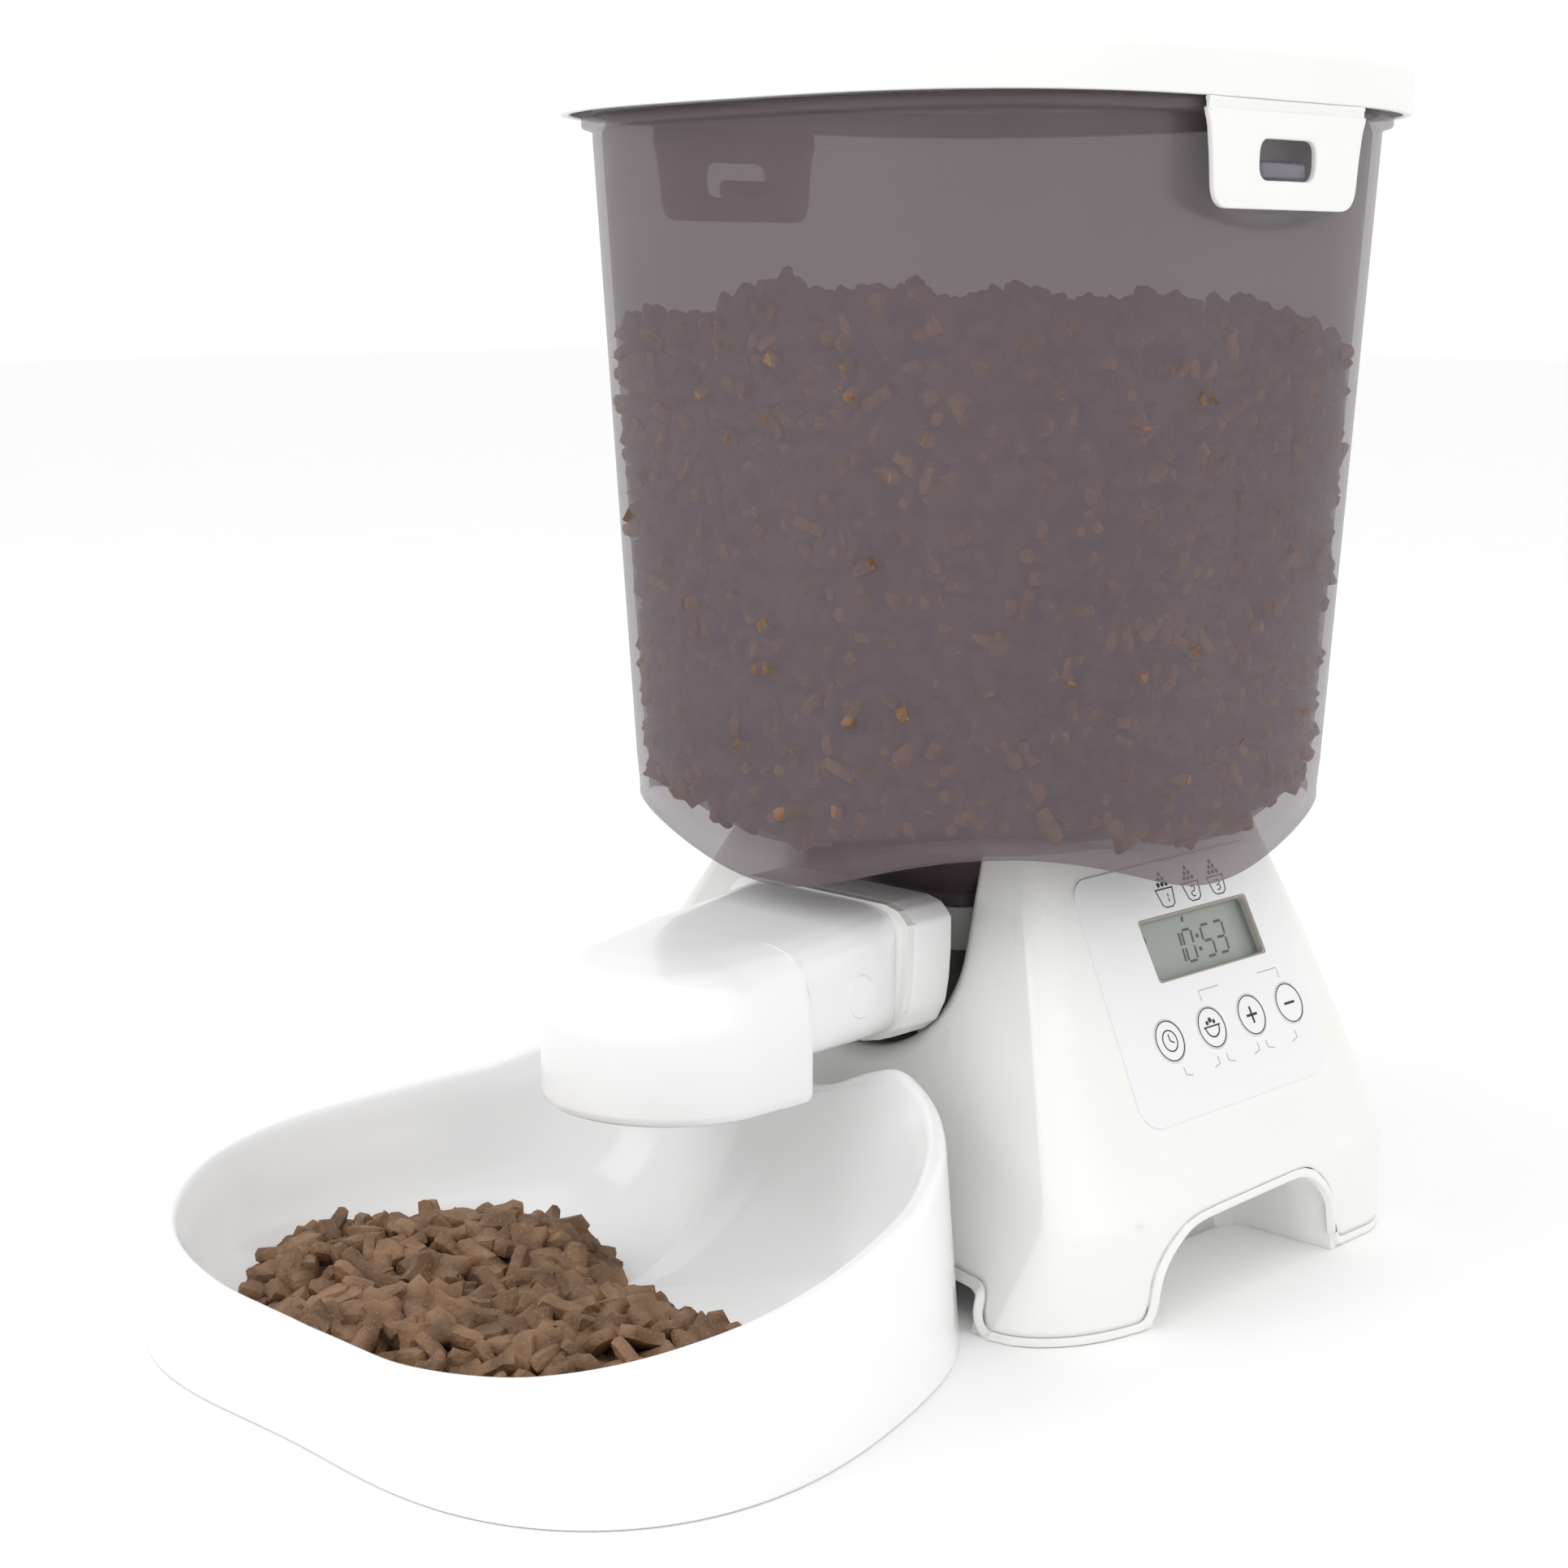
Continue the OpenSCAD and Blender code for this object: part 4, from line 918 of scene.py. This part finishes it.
def digit(value, h, v, tall, width, bar, lift, slant=0.12):
    """Seven-segment digit: h, v is its lower left corner; slant leans it to the right."""
    x, y, g = width, tall, bar * 0.62
    lines = {"a": ((g, y), (x - g, y)), "b": ((x, y - g), (x, y / 2 + g)),
             "c": ((x, y / 2 - g), (x, g)), "d": ((g, 0), (x - g, 0)), "e": ((0, g), (0, y / 2 - g)),
             "f": ((0, y / 2 + g), (0, y - g)), "g": ((g, y / 2), (x - g, y / 2))}
    on = {0: "abcdef", 1: "bc", 2: "abged", 3: "abgcd", 5: "afgcd"}[value]
    return [stroke([(h + q[0] + slant * q[1], v + q[1]) for q in lines[k]], bar, lift) for k in on]


ink = moulding("black_ink", (0.012, 0.012, 0.012), (0.4, 0.55), 900.0, 0.001)
grey_ink = moulding("grey_ink", (0.3, 0.3, 0.31), (0.4, 0.55), 900.0, 0.001)
film = moulding("label_film", (0.865, 0.865, 0.875), (0.30, 0.4), 1500.0, 0.004, 0.006)
LABEL_UP = 0.5
key_marks = [
    [stroke(circle(KEY_H[0], KEY_V, 3.3), 0.42, LABEL_UP + 0.2, closed=True),
     stroke([(KEY_H[0], KEY_V + 2.1), (KEY_H[0], KEY_V), (KEY_H[0] + 1.7, KEY_V - 0.9)], 0.45,
            LABEL_UP + 0.2)],
    [stroke(circle(KEY_H[1], KEY_V + 0.4, 3.4, 180, 360, 24), 0.5, LABEL_UP + 0.2),
     stroke([(KEY_H[1] - 4.1, KEY_V + 0.4), (KEY_H[1] + 4.1, KEY_V + 0.4)], 0.5, LABEL_UP + 0.2),
     stroke(circle(KEY_H[1], KEY_V + 2.4, 0.5, count=12), 0.7, LABEL_UP + 0.2, closed=True),
     stroke(circle(KEY_H[1] - 1.7, KEY_V + 1.7, 0.4, count=12), 0.6, LABEL_UP + 0.2, closed=True),
     stroke(circle(KEY_H[1] + 1.7, KEY_V + 1.7, 0.4, count=12), 0.6, LABEL_UP + 0.2, closed=True)],
    [stroke([(KEY_H[2] - 2.7, KEY_V), (KEY_H[2] + 2.7, KEY_V)], 0.8, LABEL_UP + 0.2),
     stroke([(KEY_H[2], KEY_V - 2.7), (KEY_H[2], KEY_V + 2.7)], 0.8, LABEL_UP + 0.24)],
    [stroke([(KEY_H[3] - 2.7, KEY_V), (KEY_H[3] + 2.7, KEY_V)], 0.8, LABEL_UP + 0.2)]]
for k in range(4):
    key = "button_%d" % (k + 1)
    rings = []
    for r, lift in ((7.75, -3.4), (7.75, -2.62), (6.7, -2.6), (6.7, 0.3), (6.62, 0.5), (6.4, 0.64),
                    (5.9, 0.7), (3.0, 0.7)):
        c = circle(KEY_H[k], KEY_V, r, count=96)
        rings.append(on_panel(c[:, 0], c[:, 1], lift))
    cap = put_closed("key_cap_%d" % (k + 1), np.array(rings), 50)
    finish_piece(cap, film, key, "label_film", key)
    put_marks("key_mark_%d" % (k + 1), key_marks[k] + [stroke(circle(KEY_H[k], KEY_V, 6.28, count=96),
              0.34, LABEL_UP + 0.18, closed=True)], ink, "black_plastic", key)

brackets = [stroke([(3.8, 34.2), (3.8, 37.4), (14, 37.4)], 0.22, LABEL_UP),
            stroke([(35.2, 37.4), (45.4, 37.4), (45.4, 34.2)], 0.22, LABEL_UP)]
for a, b in ((-15.8, 1.6), (6.2, 22.6), (27.2, 43.2)):
    brackets.append(stroke([(a, 16.6), (a, 14.2), (a + 3, 13.4)], 0.22, LABEL_UP))
    brackets.append(stroke([(b - 3, 13.4), (b, 14.2), (b, 16.6)], 0.22, LABEL_UP))
put_marks("printed_brackets", brackets, grey_ink, "black_plastic")

portions = []
for size, h in ((1, 5.3), (2, 18.9), (3, 32.0)):
    v = 68.5
    portions.append(stroke([(h - 4.2, v + 2.6), (h - 3.1, v - 2.4), (h - 1.6, v - 3.4),
                            (h + 1.6, v - 3.4), (h + 3.1, v - 2.4), (h + 4.2, v + 2.6)], 0.4, LABEL_UP))
    portions.append(stroke([(h - 4.5, v + 2.6), (h + 4.5, v + 2.6)], 0.4, LABEL_UP + 0.02))
    portions += digit(size, h - (0.9 if size > 1 else 1.2), v - 2.0, 3.2, 1.9, 0.42, LABEL_UP)
    for row in range(3):
        for k in range(3 - row):
            dot = circle(h + (k - (2 - row) / 2) * 2.0, v + 4.1 + row * 1.7, 0.42, count=12)
            portions.append(stroke(dot, 0.7, LABEL_UP, closed=True))
put_marks("printed_portions", portions, ink, "black_plastic")

LCD_UP = -4.12                   # on the display module, behind its window
lcd_lines = []
for value, h in ((1, 4.6), (0, 10.8), (5, 20.6), (3, 27.4)):
    lcd_lines += digit(value, h, 47.2, 10.2, 4.6, 0.85, LCD_UP)
for v in (50.3, 54.6):
    colon_dot = circle(18.0 + 0.12 * (v - 47), v, 0.38, count=12)
    lcd_lines.append(stroke(colon_dot, 0.74, LCD_UP, closed=True))
lcd_lines.append(stroke(circle(-8.8, 57.6, 2.5), 0.36, LCD_UP, closed=True))
lcd_lines.append(stroke([(-8.8, 59.3), (-8.8, 57.6), (-7.5, 57.6)], 0.36, LCD_UP))
lcd_lines.append(stroke([(15.0, 61.7), (14.6, 61.0), (14.2, 60.0)], 1.0, LCD_UP))
put_marks("display_figures", lcd_lines, ink, "black_plastic")


def bezel_rings():
    """A taupe frame lining the window: over its lip, down its inner wall and back outside."""
    rows = []
    for w, h, lift in ((59.2, 23.2, -1.9), (59.2, 23.2, -0.15), (56.2, 20.2, -0.1), (56.2, 20.2, 0.3),
                       (55.6, 19.6, 0.35), (55.0, 19.0, 0.1), (54.6, 18.6, -1.0), (54.6, 18.6, -1.9)):
        c = [(WINDOW[0] + a * w / 2, WINDOW[1] + b * h / 2)
             for a, b in ((1, -1), (1, 1), (-1, 1), (-1, -1))]
        c = resampled(around_outline(c, [1.6] * 4), 160)
        rows.append(on_panel(c[:, 0], c[:, 1], lift))
    return np.array(rows)


taupe = moulding("taupe_bezel", (0.38, 0.35, 0.30), (0.35, 0.45), 900.0, 0.004)
frame_rows = bezel_rings()
bezel = put_mesh("display_bezel", frame_rows, grid_faces(*frame_rows.shape[:2], loop_rows=True), 40)
finish_piece(bezel, taupe, "base", "label_film")

# ---- carried-over parts ----
# The flat film, display, drive train, batteries and fixings keep their CAD shapes and get the
# finish of the real pieces: acetal, plated steel, brass, solder mask, printed jackets.


def metal(name, tint, rough, grain):
    """Bare metal with drawn or turned marks as a fine stretched bump."""
    material, tree, shader, where = node_material(name)
    shader.inputs["Metallic"].default_value = 1.0
    tone = mottle(tree, where, 30.0, [c * 0.9 for c in tint], tint)
    tree.links.new(tone, shader.inputs["Base Color"])
    rough_and_bump(tree, shader, where, rough, grain, 0.004)
    return material


lcd_green = moulding("display_glass", (0.33, 0.375, 0.33), (0.16, 0.2), 300.0, 0.001, 0.01)
window, tree, shader, where = node_material("window_glass")
tree.links.new(mottle(tree, where, 20.0, 0.03, 0.07), shader.inputs["Roughness"])
shader.inputs["Base Color"].default_value = (0.75, 0.77, 0.74, 1.0)
shader.inputs["Alpha"].default_value = 0.12
finishes = {
    "lid_seal": silicone, "base_cover": warm_white, "battery_door": warm_white, "label": film,
    "lcd_window": window, "lcd_module": lcd_green,
    "circuit_board": moulding("solder_mask", (0.02, 0.16, 0.06), (0.3, 0.4), 400.0, 0.01, 0.1),
    "tact_switches": moulding("switch_black", (0.02, 0.02, 0.02), (0.4, 0.5)),
    "feed_housing": warm_white,
    "auger": moulding("auger_resin", (0.62, 0.63, 0.63), (0.35, 0.45), 700.0, 0.01),
    "motor": metal("motor_can", (0.6, 0.6, 0.6), (0.28, 0.4), 500.0),
    "motor_pinion": metal("brass", (0.72, 0.52, 0.22), (0.25, 0.35), 900.0),
    "snap_button_right": gloss_white, "snap_button_left": gloss_white}
steel = metal("plated_steel", (0.62, 0.62, 0.64), (0.25, 0.38), 700.0)
for node in ("drive_shaft", "gear_pin_1", "gear_pin_2", "screw_1", "screw_2", "screw_3", "screw_4",
             "contact_right", "contact_left"):
    finishes[node] = steel
acetal = moulding("acetal", (0.78, 0.76, 0.68), (0.4, 0.5), 600.0, 0.006, 0.01)
for node in ("output_gear", "compound_gear_1", "compound_gear_2", "gearbox_front", "gearbox_rear"):
    finishes[node] = acetal
jacket = moulding("cell_jacket", (0.03, 0.09, 0.24), (0.2, 0.3), 300.0, 0.004, 0.08, 0.3)
for k in range(4):
    finishes["cell_%d" % (k + 1)] = jacket
for node, material in finishes.items():
    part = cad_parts[node]
    part.data.materials.clear()
    part.data.materials.append(material)

size = {"cad": [list(v) for v in cad_box], "visual": [list(v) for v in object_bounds()]}
